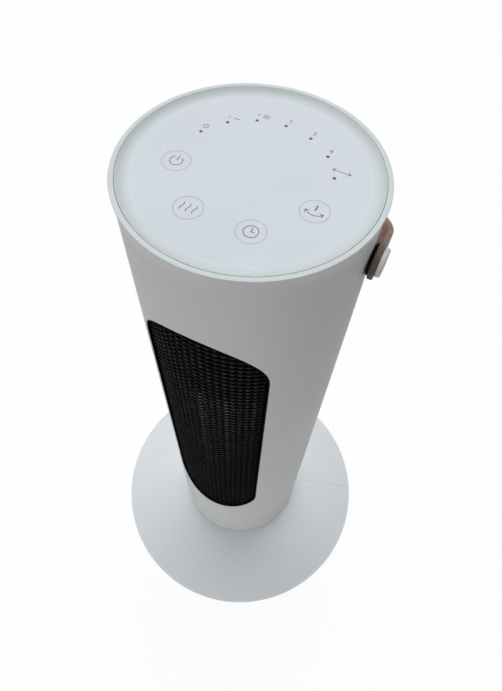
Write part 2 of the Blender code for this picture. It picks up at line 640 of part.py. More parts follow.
def pedestal(body):
    profile = [
        (SPINDLE_BORE_RADIUS, SPINDLE_TOP),
        (SPINDLE_RADIUS, SPINDLE_TOP),
        (SPINDLE_RADIUS, PEDESTAL_TOP),
        (PEDESTAL_RADIUS, PEDESTAL_TOP),
        (PEDESTAL_RADIUS, PEDESTAL_BOTTOM),
        (STUB_RADIUS, PEDESTAL_BOTTOM),
        (STUB_RADIUS, HUB_NUT_BOTTOM - STUB_TAIL),
        (SPINDLE_BORE_RADIUS, HUB_NUT_BOTTOM - STUB_TAIL),
        (SPINDLE_BORE_RADIUS, SPINDLE_TOP),
    ]
    return turned("pedestal", profile, GREY_PLASTIC, body)


def gear_outline(teeth, phase):
    """A gear's outline: four points a tooth, thinned by the backlash."""
    pitch_radius = GEAR_MODULE * teeth / 2
    tip = pitch_radius + GEAR_MODULE - GEAR_TIP_CUT
    root = pitch_radius - GEAR_ROOT_SHARE * GEAR_MODULE
    quarter = (math.pi * GEAR_MODULE / 2 - GEAR_BACKLASH) / 2
    flare = GEAR_MODULE * math.tan(GEAR_PRESSURE_ANGLE)
    outline = []
    for tooth in range(teeth):
        middle = phase + FULL_TURN * tooth / teeth
        root_half = (quarter + flare) / root
        tip_half = (quarter - flare) / tip
        outline += [on_circle(root, middle - root_half), on_circle(tip, middle - tip_half),
                    on_circle(tip, middle + tip_half), on_circle(root, middle + root_half)]
    return outline


def swing_gear(body):
    """The fixed gear, with a tooth towards the pinion."""
    outlines = [gear_outline(GEAR_TEETH, QUARTER_TURN), circle_points(SPINDLE_FIT_RADIUS, ROUND_STEPS)]
    return prism("swing_gear", outlines, GEAR_THICKNESS, NYLON, body, (0, 0, (GEAR_BOTTOM + GEAR_TOP) / 2))


def swing_pinion(body):
    """The pinion, with a gap between two teeth towards the gear, and its shaft."""
    half_tooth = math.pi / PINION_TEETH
    outline = gear_outline(PINION_TEETH, -QUARTER_TURN + half_tooth)
    pinion = prism("swing_pinion", [outline], GEAR_THICKNESS, NYLON, body, (0, 0, (GEAR_BOTTOM + GEAR_TOP) / 2))
    shaft = rod("pinion_shaft", PINION_SHAFT_RADIUS, GEAR_TOP - BOND_DEPTH,
                SWING_MOTOR_BOTTOM + PINION_SHAFT_REACH, NYLON, body)
    return join(pinion, shaft)


def build_base(body, turned_body, plunger_body):
    rear = base_cover("base_cover_rear", 1, BASE_SCREW_ANGLES[:2], turned_body)
    cut(rear, bushing_hole(turned_body))
    base_cover("base_cover_front", -1, BASE_SCREW_ANGLES[2:], turned_body)
    base_plate(turned_body)
    tip_switch(turned_body, plunger_body)
    cord_bushing(turned_body)
    for name, angle in zip(FOOT_NAMES, FOOT_ANGLES):
        rod(name, FOOT_RADIUS, 0, FOOT_HEIGHT, RUBBER, turned_body, on_circle(FOOT_CIRCLE_RADIUS, angle))
    for number, angle in enumerate(BASE_SCREW_ANGLES, 1):
        screw_piece(f"base_screw_{number}", PLATE_BOTTOM - SEAT_GAP, turned_body,
                    on_circle(BASE_SCREW_CIRCLE_RADIUS, angle))
    pedestal(body)
    ring("hub_nut", STUB_RADIUS + SEAT_GAP, HUB_NUT_RADIUS, HUB_NUT_BOTTOM, HUB_NUT_TOP, GREY_PLASTIC, body)
    ring("bearing_ring", BEARING_INNER_RADIUS, BEARING_OUTER_RADIUS, BEARING_BOTTOM,
         BEARING_BOTTOM + BEARING_THICKNESS, NYLON, body)
    ring("thrust_washer", SPINDLE_FIT_RADIUS, WASHER_RADIUS, WASHER_BOTTOM,
         WASHER_BOTTOM + WASHER_THICKNESS, NYLON, body)
    swing_gear(body)


# Tower shells and grille

def outlet_outline(grow):
    """The outlet's outline seen from the front, as (x, z), grown by a margin."""
    radius = OUTLET_HALF_WIDTH + grow
    ends = ((OUTLET_TOP - OUTLET_HALF_WIDTH, 0), (OUTLET_BOTTOM + OUTLET_HALF_WIDTH, math.pi))
    outline = []
    for middle, start in ends:
        for step in range(OUTLET_END_STEPS + 1):
            outline.append(on_circle(radius, start + math.pi * step / OUTLET_END_STEPS, (0, middle)))
    return outline


def outlet_reach(across, grow):
    """The outlet's top and bottom at a distance from its middle line."""
    radius = OUTLET_HALF_WIDTH + grow
    rise = math.sqrt(max(0, radius ** 2 - across ** 2))
    return OUTLET_TOP - OUTLET_HALF_WIDTH + rise, OUTLET_BOTTOM + OUTLET_HALF_WIDTH - rise


def outlet_prism(name, grow, body):
    """A solid that holds the outlet's outline over the tower's front half."""
    return prism(name, [outlet_outline(grow)], TOWER_RADIUS, BLACK_PLASTIC, body,
                 (0, -TOWER_RADIUS, 0), (QUARTER_TURN, 0, 0))


def stud_hole(body):
    return pin("stud_hole", STUD_SHANK_RADIUS + SEAT_GAP, 2 * (TOWER_RADIUS + CUT_OVERRUN), WHITE_PLASTIC, body,
               (0, 0, STUD_HEIGHT), (0, QUARTER_TURN, 0))


def shell_bosses(shell, angles, body):
    """Bosses inside the shell's foot for the screws through the chassis plate."""
    bottom = CHASSIS_TOP + SEAT_GAP
    for angle in angles:
        centre = on_circle(SHELL_BOSS_CIRCLE_RADIUS, angle)
        boss = rod("shell_boss", SCREW_BOSS_RADIUS, bottom, bottom + SHELL_BOSS_HEIGHT, WHITE_PLASTIC, body, centre)
        join(shell, boss)
        cut(shell, rod("shell_boss_hole", SCREW_SHANK_RADIUS + SEAT_GAP, bottom - CUT_OVERRUN,
                       bottom + SCREW_LENGTH, WHITE_PLASTIC, body, centre, SCREW_STEPS))


def front_shell(body):
    half_angle = SEAM_ANGLE - SHELL_SEAM / TOWER_RADIUS / 2
    shell = curved_wall("front_shell", TOWER_RADIUS, TOWER_WALL, TOWER_BOTTOM, SHELL_TOP, -QUARTER_TURN,
                        half_angle, FRONT_WALL_STEPS, WHITE_PLASTIC, body)
    cut(shell, outlet_prism("outlet_cut", 0, body))
    cut(shell, stud_hole(body))
    shell_bosses(shell, FRONT_BOSS_DIRECTIONS, body)
    return shell


def slot_cutter(name, slots, radius, body):
    """One object of upright boxes: each slot is (direction, width, bottom, top)."""
    shape = bmesh.new()
    for direction, width, bottom, top in slots:
        made = bmesh.ops.create_cube(shape, size=1)["verts"]
        bmesh.ops.scale(shape, vec=(radius, width, top - bottom), verts=made)
        bmesh.ops.translate(shape, vec=(radius, 0, (bottom + top) / 2), verts=made)
        bmesh.ops.rotate(shape, cent=(0, 0, 0), matrix=Matrix.Rotation(direction, 3, "Z"), verts=made)
    data = bpy.data.meshes.new(name)
    shape.to_mesh(data)
    shape.free()
    return new_piece(name, data, BLACK_PLASTIC, body)


def rear_shell(body):
    half_angle = math.pi - SEAM_ANGLE - SHELL_SEAM / TOWER_RADIUS / 2
    shell = curved_wall("rear_shell", TOWER_RADIUS, TOWER_WALL, TOWER_BOTTOM, SHELL_TOP, QUARTER_TURN,
                        half_angle, REAR_WALL_STEPS, WHITE_PLASTIC, body)
    row_height = (INTAKE_TOP - INTAKE_BOTTOM - INTAKE_ROW_BAR * (INTAKE_ROWS - 1)) / INTAKE_ROWS
    slots = []
    for column in range(INTAKE_COLUMNS):
        direction = QUARTER_TURN + (column - (INTAKE_COLUMNS - 1) / 2) * INTAKE_PITCH
        for row in range(INTAKE_ROWS):
            bottom = INTAKE_BOTTOM + row * (row_height + INTAKE_ROW_BAR)
            slots.append((direction, INTAKE_SLOT_WIDTH, bottom, bottom + row_height))
    cut(shell, slot_cutter("intake_slots", slots, TOWER_RADIUS, body))
    shell_bosses(shell, REAR_BOSS_DIRECTIONS, body)
    return shell


def front_grille(body):
    """A curved plate behind the outlet, cut into columns of slots by ribs and crossbars."""
    grille = curved_wall("front_grille", GRILLE_RADIUS, GRILLE_THICKNESS, OUTLET_BOTTOM - 2 * GRILLE_LAP,
                         OUTLET_TOP + 2 * GRILLE_LAP, -QUARTER_TURN, GRILLE_HALF_ANGLE, GRILLE_COLUMNS,
                         BLACK_PLASTIC, body)
    boolean(grille, as_cutter(outlet_prism("grille_outline", GRILLE_LAP, body)), "INTERSECT")
    slots = []
    width = GRILLE_RADIUS * GRILLE_PITCH - GRILLE_RIB
    lowest, highest = OUTLET_BOTTOM + OUTLET_HALF_WIDTH, OUTLET_TOP - OUTLET_HALF_WIDTH
    breaks = [lowest + (highest - lowest) * bar / (GRILLE_CROSSBARS - 1) for bar in range(GRILLE_CROSSBARS)]
    for column in range(GRILLE_COLUMNS):
        turn = (column - (GRILLE_COLUMNS - 1) / 2) * GRILLE_PITCH
        across = GRILLE_RADIUS * math.sin(abs(turn)) + width / 2
        top, bottom = outlet_reach(across, -GRILLE_BORDER)
        edges = [bottom] + breaks + [top]
        for low, high in zip(edges, edges[1:]):
            low_edge = low if low == bottom else low + GRILLE_CROSSBAR_HEIGHT / 2
            high_edge = high if high == top else high - GRILLE_CROSSBAR_HEIGHT / 2
            slots.append((-QUARTER_TURN + turn, width, low_edge, high_edge))
    return cut(grille, slot_cutter("grille_slots", slots, TOWER_RADIUS, body))


# Top of the tower

def top_rim(body):
    corner = RIM_ROUND * (1 - math.cos(QUARTER_TURN / 2))
    profile = [
        (RIM_INNER_RADIUS, RIM_TOP - RIM_ROUND / 2),
        (RIM_INNER_RADIUS + RIM_ROUND / 2, RIM_TOP),
        (RIM_RADIUS - RIM_ROUND, RIM_TOP),
        (RIM_RADIUS - corner, RIM_TOP - corner),
        (RIM_RADIUS, RIM_TOP - RIM_ROUND),
        (RIM_RADIUS, RIM_BOTTOM),
        (SPIGOT_RADIUS, RIM_BOTTOM),
        (SPIGOT_RADIUS, RIM_BOTTOM - RIM_SPIGOT_REACH),
        (SPIGOT_RADIUS - RIM_SPIGOT_WALL, RIM_BOTTOM - RIM_SPIGOT_REACH),
        (SPIGOT_RADIUS - RIM_SPIGOT_WALL, SHELF_TOP - RIM_SHELF_THICKNESS),
        (RIM_SHELF_RADIUS, SHELF_TOP - RIM_SHELF_THICKNESS),
        (RIM_SHELF_RADIUS, SHELF_TOP),
        (RIM_INNER_RADIUS, SHELF_TOP),
        (RIM_INNER_RADIUS, RIM_TOP - RIM_ROUND / 2),
    ]
    return turned("top_rim", profile, WHITE_PLASTIC, body, steps=FINE_STEPS)


def touch_panel(body):
    """A flat disc in a cove that rises to a narrow lip inside the rim."""
    lip_radius = PANEL_RADIUS - PANEL_LIP_WIDTH
    cove = []
    for step in range(PANEL_COVE_STEPS + 1):
        angle = QUARTER_TURN * step / PANEL_COVE_STEPS
        cove.append((PANEL_FLAT_RADIUS + (lip_radius - PANEL_FLAT_RADIUS) * math.sin(angle),
                     PANEL_LIP_TOP - (PANEL_LIP_TOP - PANEL_FLAT_TOP) * math.cos(angle)))
    underside = PANEL_FLAT_TOP - PANEL_THICKNESS
    profile = [(0, PANEL_FLAT_TOP)] + cove
    profile += [
        (PANEL_RADIUS, PANEL_LIP_TOP),
        (PANEL_RADIUS, PANEL_BOTTOM),
        (PANEL_RADIUS - PANEL_SKIRT_WALL, PANEL_BOTTOM),
        (PANEL_RADIUS - PANEL_SKIRT_WALL, underside),
        (0, underside),
    ]
    return turned("touch_panel", profile, PANEL_GLASS, body, steps=FINE_STEPS)


def build_top(body):
    top_rim(body)
    touch_panel(body)
    board_radius = PANEL_RADIUS - PANEL_SKIRT_WALL - SEAT_GAP
    disc("touch_board", board_radius, PANEL_BOTTOM, PANEL_BOTTOM + BOARD_THICKNESS, BOARD_GREEN, body,
         steps=ROUND_STEPS)


# Chassis, swing motor and duct

def ear_places():
    return [(side * EAR_REACH, PINION_DISTANCE) for side in (-1, 1)]


def chassis_plate(body):
    plate = disc("chassis_plate", DISC_RADIUS, CHASSIS_BOTTOM, CHASSIS_TOP, GREY_PLASTIC, body)
    cut(plate, rod("spindle_hole", SPINDLE_FIT_RADIUS, CHASSIS_BOTTOM - CUT_OVERRUN, CHASSIS_TOP + CUT_OVERRUN,
                   GREY_PLASTIC, body, steps=ROUND_STEPS))
    for place in ear_places():
        post_top = SWING_MOTOR_BOTTOM - SEAT_GAP
        join(plate, rod("motor_post", POST_RADIUS, CHASSIS_TOP - BOND_DEPTH, post_top, GREY_PLASTIC, body, place))
        cut(plate, rod("motor_post_hole", SCREW_SHANK_RADIUS + SEAT_GAP, post_top - SCREW_LENGTH,
                       post_top + CUT_OVERRUN, GREY_PLASTIC, body, place, SCREW_STEPS))
    for angle in FRONT_BOSS_DIRECTIONS + REAR_BOSS_DIRECTIONS:
        cut(plate, rod("chassis_hole", SCREW_SHANK_RADIUS + SEAT_GAP, CHASSIS_BOTTOM - CUT_OVERRUN,
                       CHASSIS_TOP + CUT_OVERRUN, GREY_PLASTIC, body,
                       on_circle(SHELL_BOSS_CIRCLE_RADIUS, angle), SCREW_STEPS))
    return plate


def swing_motor(body):
    centre = (0, PINION_DISTANCE)
    motor = rod("swing_motor", SWING_MOTOR_RADIUS, SWING_MOTOR_BOTTOM, SWING_MOTOR_BOTTOM + SWING_MOTOR_HEIGHT,
                STEEL, body, centre, ROUND_STEPS)
    ear_size = (2 * EAR_REACH + EAR_WIDTH, EAR_WIDTH, EAR_THICKNESS)
    join(motor, box("motor_ears", ear_size, STEEL, body, (*centre, SWING_MOTOR_BOTTOM + EAR_THICKNESS / 2)))
    cut(motor, rod("motor_bore", PINION_SHAFT_RADIUS + SEAT_GAP, SWING_MOTOR_BOTTOM - CUT_OVERRUN,
                   SWING_MOTOR_BOTTOM + PINION_SHAFT_REACH + SEAT_GAP, STEEL, body, centre))
    for place in ear_places():
        cut(motor, rod("ear_hole", SCREW_SHANK_RADIUS + SEAT_GAP, SWING_MOTOR_BOTTOM - CUT_OVERRUN,
                       SWING_MOTOR_BOTTOM + EAR_THICKNESS + CUT_OVERRUN, STEEL, body, place, SCREW_STEPS))
    for number, place in enumerate(ear_places(), 1):
        head_top = SWING_MOTOR_BOTTOM + EAR_THICKNESS + SEAT_GAP + MOTOR_SCREW_HEAD_HEIGHT
        screw_piece(f"motor_screw_{number}", head_top, body, place, MOTOR_SCREW_HEAD_HEIGHT,
                    SCREW_LENGTH, up=False)
    return motor


def duct_plate(name, bottom, hole_radius, body):
    plate = disc(name, DISC_RADIUS, bottom, bottom + DUCT_PLATE_THICKNESS, BLACK_PLASTIC, body, steps=ROUND_STEPS)
    return cut(plate, rod(name + "_hole", hole_radius, bottom - CUT_OVERRUN,
                          bottom + DUCT_PLATE_THICKNESS + CUT_OVERRUN, BLACK_PLASTIC, body, (0, FAN_Y)))


def duct_roof(body):
    """The upper duct plate, cut back in front to pass behind the grille."""
    roof = duct_plate("duct_roof", DUCT_ROOF_BOTTOM, BEARING_BUSH_RADIUS + SEAT_GAP, body)
    depth = TOWER_RADIUS - GRILLE_RADIUS + GRILLE_THICKNESS + SEAT_GAP
    notch = curved_wall("grille_notch", TOWER_RADIUS, depth, DUCT_ROOF_BOTTOM - CUT_OVERRUN,
                        DUCT_ROOF_TOP + CUT_OVERRUN, -QUARTER_TURN, GRILLE_HALF_ANGLE, GRILLE_COLUMNS,
                        BLACK_PLASTIC, body)
    return cut(roof, notch)


def duct_scroll(body):
    """The long duct sheet: from the heater's left side round behind the wheel, widening towards the heater."""
    line = []
    for step in range(SCROLL_STEPS + 1):
        share = step / SCROLL_STEPS
        radius = FAN_RADIUS + DUCT_CLEARANCE + SCROLL_GROWTH * share
        line.append(on_circle(radius, SCROLL_START + (SCROLL_END - SCROLL_START) * share, (0, FAN_Y)))
    line.append((-DUCT_MOUTH_HALF_WIDTH, CAP_BACK_Y + SEAT_GAP))
    return sheet("duct_scroll", line, DUCT_LOW, DUCT_HIGH, DUCT_SHEET, BLACK_PLASTIC, body)


def duct_tongue(body):
    """The short duct sheet on the right, whose edge lies close to the wheel."""
    near = on_circle(FAN_RADIUS + DUCT_CLEARANCE, TONGUE_ANGLE, (0, FAN_Y))
    line = [near, (DUCT_MOUTH_HALF_WIDTH, FAN_Y - FAN_RADIUS), (DUCT_MOUTH_HALF_WIDTH, CAP_BACK_Y + SEAT_GAP)]
    return sheet("duct_tongue", line, DUCT_LOW, DUCT_HIGH, DUCT_SHEET, BLACK_PLASTIC, body)


# Fan

def blade_outline(angle):
    """One curved blade seen from above: from the outer edge in along its front, then back along its other side."""
    front, back = [], []
    for step in range(FAN_BLADE_STEPS + 1):
        share = step / FAN_BLADE_STEPS
        radius = FAN_RADIUS - FAN_BLADE_THICKNESS / 2 - FAN_BLADE_DEPTH * share
        swing = angle + FAN_BLADE_LEAN * share * share
        half = FAN_BLADE_THICKNESS / 2 / radius
        front.append(on_circle(radius, swing - half))
        back.append(on_circle(radius, swing + half))
    return front + back[::-1]


def wheel_end(name, height, turn, body):
    """The wheel's lower end: a disc, and a boss through it with a bore that opens downwards."""
    bore = FAN_SHAFT_RADIUS + SEAT_GAP
    bore_end = FAN_SHAFT_GRIP - FAN_BOSS_REACH
    profile = [
        (0, bore_end + FAN_BOSS_FLOOR),
        (FAN_BOSS_RADIUS, bore_end + FAN_BOSS_FLOOR),
        (FAN_BOSS_RADIUS, FAN_DISC_THICKNESS),
        (FAN_RADIUS, FAN_DISC_THICKNESS),
        (FAN_RADIUS, 0),
        (FAN_BOSS_RADIUS, 0),
        (FAN_BOSS_RADIUS, -FAN_BOSS_REACH),
        (bore, -FAN_BOSS_REACH),
        (bore, bore_end),
        (0, bore_end),
    ]
    return turned(name, profile, BLACK_PLASTIC, body, (0, 0, height), turn, steps=ROUND_STEPS)


def fan_wheel(body):
    wheel = wheel_end("fan_wheel", FAN_BOTTOM, (0, 0, 0), body)
    join(wheel, wheel_end("wheel_top", FAN_TOP, (math.pi, 0, 0), body))
    middle = (FAN_BOTTOM + FAN_TOP) / 2
    join(wheel, disc("wheel_waist", FAN_RADIUS, middle - FAN_DISC_THICKNESS / 2, middle + FAN_DISC_THICKNESS / 2,
                     BLACK_PLASTIC, body, steps=ROUND_STEPS))
    low, high = FAN_BOTTOM + BOND_DEPTH, FAN_TOP - BOND_DEPTH
    outlines = [blade_outline(FULL_TURN * blade / FAN_BLADES) for blade in range(FAN_BLADES)]
    join(wheel, prism("wheel_blades", outlines, high - low, BLACK_PLASTIC, body, (0, 0, middle)))


def fan_shafts(body):
    """The motor's shaft in the wheel's lower boss, and the bearing's pin in its upper one."""
    boss_low, boss_high = FAN_BOTTOM - FAN_BOSS_REACH, FAN_TOP + FAN_BOSS_REACH
    rod("fan_shaft", FAN_SHAFT_RADIUS, MOTOR_TOP - MOTOR_BORE_DEPTH + SEAT_GAP,
        boss_low + FAN_SHAFT_GRIP - SEAT_GAP, STEEL, body, steps=SCREW_STEPS)
    rod("fan_pin", FAN_SHAFT_RADIUS, boss_high - FAN_SHAFT_GRIP + SEAT_GAP, DUCT_ROOF_TOP, STEEL, body,
        steps=SCREW_STEPS)


def fan_motor(body):
    bore = FAN_SHAFT_RADIUS + SEAT_GAP
    profile = [
        (0, MOTOR_TOP - MOTOR_BORE_DEPTH),
        (bore, MOTOR_TOP - MOTOR_BORE_DEPTH),
        (bore, MOTOR_TOP),
        (MOTOR_RADIUS, MOTOR_TOP),
        (MOTOR_RADIUS, MOTOR_TOP - MOTOR_HEIGHT),
        (0, MOTOR_TOP - MOTOR_HEIGHT),
    ]
    turned("fan_motor", profile, STEEL, body, (0, FAN_Y, 0))


def fan_bearing(body):
    middle = (DUCT_ROOF_BOTTOM + DUCT_ROOF_TOP) / 2
    return ring("fan_bearing", FAN_SHAFT_RADIUS + SEAT_GAP, BEARING_BUSH_RADIUS, DUCT_ROOF_BOTTOM,
                middle + BEARING_BUSH_HEIGHT / 2, NYLON, body, (0, FAN_Y, 0), steps=SMALL_STEPS)


# Heating element

def fin_strip(name, left, right, body):
    """A corrugated strip that climbs between its two sides, with a flat at each bend."""
    near, far = left + FIN_SHEET / 2, right - FIN_SHEET / 2
    low, high = CORE_BOTTOM + FIN_SHEET / 2, CORE_TOP - FIN_SHEET / 2
    bends = 2 * round((high - low) / FIN_PITCH)
    step = (high - low - FIN_LAND) / (bends - 1)
    line = []
    for bend in range(bends):
        x = (near, far)[bend % 2]
        line += [(x, low + step * bend), (x, low + step * bend + FIN_LAND)]
    return sheet(name, line, -CORE_DEPTH / 2, CORE_DEPTH / 2, FIN_SHEET, ALUMINIUM, body,
                 (0, CORE_Y, 0), (QUARTER_TURN, 0, 0))


def build_heater(body):
    for name, bottom in (("heater_cap_bottom", DUCT_LOW), ("heater_cap_top", CAP_HIGH_BOTTOM)):
        box(name, (2 * CAP_HALF_WIDTH, CAP_DEPTH, CAP_HEIGHT), HEAT_PLASTIC, body,
            (0, CORE_Y, bottom + CAP_HEIGHT / 2))
    height = CORE_TOP - CORE_BOTTOM
    middle = (CORE_TOP + CORE_BOTTOM) / 2
    for side, name in ((-1, "left"), (1, "right")):
        rail_x = side * (CORE_HALF_WIDTH + RAIL_THICKNESS / 2)
        box(f"heater_rail_{name}", (RAIL_THICKNESS, CORE_DEPTH, height), STEEL, body, (rail_x, CORE_Y, middle))
    bands = BAR_COUNT + 1
    fin_width = (2 * CORE_HALF_WIDTH - BAR_COUNT * BAR_WIDTH - 2 * bands * SEAT_GAP) / bands
    left = -CORE_HALF_WIDTH
    for band, name in enumerate(("left", "middle", "right")):
        fin_left = left + SEAT_GAP
        fin_right = fin_left + fin_width
        fin_strip(f"fin_strip_{name}", fin_left, fin_right, body)
        left = fin_right + SEAT_GAP
        if band < BAR_COUNT:
            side = ("left", "right")[band]
            box(f"ptc_bar_{side}", (BAR_WIDTH, CORE_DEPTH, height), ALUMINIUM, body,
                (left + BAR_WIDTH / 2, CORE_Y, middle))
            left += BAR_WIDTH
    rod("thermal_cutout", CUTOUT_RADIUS, ROOF_SEAT, ROOF_SEAT + CUTOUT_HEIGHT, STEEL, body, (0, CORE_Y))


# Electronics behind the grille's upper part

def upper_baffle(body):
    return curved_wall("upper_baffle", BAFFLE_RADIUS, DUCT_SHEET, ROOF_SEAT, BAFFLE_TOP, -QUARTER_TURN,
                       BAFFLE_HALF_ANGLE, GRILLE_COLUMNS, BLACK_PLASTIC, body)


def power_board(body):
    width, thickness, height = POWER_BOARD_SIZE
    board = box("power_board", POWER_BOARD_SIZE, BOARD_GREEN, body,
                (0, POWER_BOARD_Y, ROOF_SEAT + height / 2))
    parts = [(RELAY_SIZE, x, RELAY_LIFT) for x in RELAY_X] + [(CAPACITOR_SIZE, CAPACITOR_X, CAPACITOR_LIFT)]
    for size, x, lift in parts:
        y = POWER_BOARD_Y + thickness / 2 + size[1] / 2 - BOND_DEPTH
        join(board, box("board_part", size, BLACK_PLASTIC, body, (x, y, ROOF_SEAT + lift)))
    return board


# Strap and studs

def strap_path(distance):
    """The strap's middle line in its own plane: (x, y) and the outward direction, from the right end round."""
    bend = math.pi * STRAP_PATH_RADIUS
    if distance < STRAP_LEG:
        return STRAP_PATH_RADIUS, distance
    if distance < STRAP_LEG + bend:
        angle = (distance - STRAP_LEG) / STRAP_PATH_RADIUS
        return on_circle(STRAP_PATH_RADIUS, angle, (0, STRAP_LEG))
    return -STRAP_PATH_RADIUS, 2 * STRAP_LEG + bend - distance


def strap_stations():
    """Distances along the strap and its half width there: round at both ends."""
    end = []
    for step in range(1, STRAP_END_STEPS + 1):
        angle = QUARTER_TURN * step / (STRAP_END_STEPS + 1)
        end.append((-STRAP_HALF_WIDTH * math.cos(angle), STRAP_HALF_WIDTH * math.sin(angle)))
    bend = math.pi * STRAP_PATH_RADIUS
    total = 2 * STRAP_LEG + bend
    middle = [(0, STRAP_HALF_WIDTH), (STRAP_LEG / 2, STRAP_HALF_WIDTH)]
    middle += [(STRAP_LEG + bend * i / STRAP_BEND_STEPS, STRAP_HALF_WIDTH) for i in range(STRAP_BEND_STEPS + 1)]
    middle += [(total - STRAP_LEG / 2, STRAP_HALF_WIDTH), (total, STRAP_HALF_WIDTH)]
    return end + middle + [(total - distance, half) for distance, half in reversed(end)]


def handle_strap(body):
    """A band bent into a U round the back of the tower, with round ends on the studs."""
    shape = bmesh.new()
    rows = []
    for distance, half in strap_stations():
        x, y = strap_path(distance)
        rows.append((shape.verts.new((x, y, -half)), shape.verts.new((x, y, half))))
    for (low, high), (next_low, next_high) in zip(rows, rows[1:]):
        shape.faces.new((low, next_low, next_high, high))
    data = bpy.data.meshes.new("handle_strap")
    shape.to_mesh(data)
    shape.free()
    strap = new_piece("handle_strap", data, LEATHER, body)
    wall = strap.modifiers.new("Wall", "SOLIDIFY")
    wall.thickness = STRAP_THICKNESS
    wall.offset = 0
    wall.use_even_offset = True
    return cut(strap, pin("strap_hole", STUD_SHANK_RADIUS + STRAP_HOLE_CLEARANCE,
                          2 * (STRAP_PATH_RADIUS + STRAP_THICKNESS), LEATHER, body, (0, 0, 0), (0, QUARTER_TURN, 0)))


def strap_stud(name, side, body):
    """A button on a shank that passes through strap, washer and shell."""
    head_seat = STRAP_INNER_HALF + STRAP_THICKNESS + SEAT_GAP
    shank = head_seat - TOWER_RADIUS + STUD_REACH
    profile = [
        (0, shank + STUD_HEAD_HEIGHT),
        (STUD_HEAD_RADIUS - STUD_HEAD_ROUND, shank + STUD_HEAD_HEIGHT),
        (STUD_HEAD_RADIUS, shank + STUD_HEAD_HEIGHT - STUD_HEAD_ROUND),
        (STUD_HEAD_RADIUS, shank),
        (STUD_SHANK_RADIUS, shank),
        (STUD_SHANK_RADIUS, 0),
        (0, 0),
    ]
    return turned(name, profile, WHITE_PLASTIC, body, (side * (TOWER_RADIUS - STUD_REACH), 0, STUD_HEIGHT),
                  (0, side * QUARTER_TURN, 0), steps=SMALL_STEPS)


def stud_washer(name, side, body):
    """A spacer between the shell and the strap."""
    return ring(name, STUD_SHANK_RADIUS + SEAT_GAP, STUD_WASHER_RADIUS, 0, STUD_WASHER_THICKNESS, GREY_PLASTIC, body,
                (side * (TOWER_RADIUS + SEAT_GAP), 0, STUD_HEIGHT), (0, side * QUARTER_TURN, 0), SMALL_STEPS)


def build_tower(body):
    front_shell(body)
    rear_shell(body)
    front_grille(body)
    build_top(body)
    chassis_plate(body)
    swing_motor(body)
    for number, angle in enumerate(FRONT_BOSS_DIRECTIONS + REAR_BOSS_DIRECTIONS, 1):
        screw_piece(f"shell_screw_{number}", CHASSIS_BOTTOM - SEAT_GAP - SCREW_HEAD_HEIGHT, body,
                    on_circle(SHELL_BOSS_CIRCLE_RADIUS, angle))
    duct_plate("duct_floor", DUCT_FLOOR_BOTTOM, FLOOR_SHAFT_HOLE_RADIUS, body)
    duct_roof(body)
    duct_scroll(body)
    duct_tongue(body)
    build_heater(body)
    fan_motor(body)
    fan_bearing(body)
    upper_baffle(body)
    power_board(body)
    for side, name in ((-1, "left"), (1, "right")):
        strap_stud(f"strap_stud_{name}", side, body)
        stud_washer(f"stud_washer_{name}", side, body)


clear_scene()
PARTS = new_collection("fan_heater")
CUTTERS = new_collection("fan_heater_cutters")

base = new_body("base_axis")
base_turned = new_body("base_turned", turn=(0, 0, BASE_TURN), parent=base)
plunger = new_body("plunger_axis", (0, SWITCH_CIRCLE_RADIUS, 0), parent=base_turned)
tower = new_body("swing_axis", parent=base)
fan = new_body("fan_axis", (0, FAN_Y, 0), parent=tower)
pinion = new_body("pinion_axis", (0, PINION_DISTANCE, 0), parent=tower)
strap = new_body("strap_axis", (0, 0, STUD_HEIGHT), (-STRAP_DROOP, 0, 0), parent=tower)

build_base(base, base_turned, plunger)
build_tower(tower)
fan_wheel(fan)
fan_shafts(fan)
swing_pinion(pinion)
handle_strap(strap)
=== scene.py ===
# %% [markdown]
# # A tower fan heater
# This lesson dresses the engineering model of a tower fan heater: a white tower that swings on a wide
# domed foot, with a touch panel on top, a black mesh outlet in front and a leather strap behind. The
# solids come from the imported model. The pieces that show are modelled again here, finer, in the same
# places, and everything gets a finish.

# %% Load the frame
import math

import bmesh
import bpy
from mathutils import Matrix, Vector


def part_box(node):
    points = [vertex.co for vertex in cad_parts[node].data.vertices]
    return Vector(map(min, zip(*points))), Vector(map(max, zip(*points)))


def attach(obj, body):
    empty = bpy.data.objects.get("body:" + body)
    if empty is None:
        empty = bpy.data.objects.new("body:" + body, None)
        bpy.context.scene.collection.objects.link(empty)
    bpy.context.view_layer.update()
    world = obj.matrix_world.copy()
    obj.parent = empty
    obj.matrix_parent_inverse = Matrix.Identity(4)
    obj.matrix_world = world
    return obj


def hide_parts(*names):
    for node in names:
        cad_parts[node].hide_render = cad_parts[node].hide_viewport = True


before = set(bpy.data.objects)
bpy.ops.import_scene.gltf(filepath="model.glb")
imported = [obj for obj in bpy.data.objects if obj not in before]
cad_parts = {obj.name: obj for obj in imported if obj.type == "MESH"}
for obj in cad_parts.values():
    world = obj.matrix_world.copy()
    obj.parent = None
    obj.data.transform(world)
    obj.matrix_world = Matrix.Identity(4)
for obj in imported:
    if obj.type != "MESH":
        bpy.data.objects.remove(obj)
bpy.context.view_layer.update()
MM = 0.001
NEAR = 0.01 * MM
QUARTER_TURN = math.pi / 2

# %% [markdown]
# ## The camera
# The photograph was taken from close by and from above, in front of the heater and a little to its
# right. Its lens and place were worked out from the ellipse of the rim and the tower's straight sides.
# A camera looks down its own -Z axis, so it is first tipped up from that, then turned to the heater,
# and the roll of the hand-held camera comes first of all, about its own line of sight.

# %% Camera
LENS = 27.5
SENSOR = 36.0
CLIP_START = 0.01
CAMERA_PLACE = (0.09369, -0.20184, 0.76725)
CAMERA_PITCH = math.radians(59.18)
CAMERA_HEADING = math.radians(23.73)
CAMERA_ROLL = math.radians(2.97)

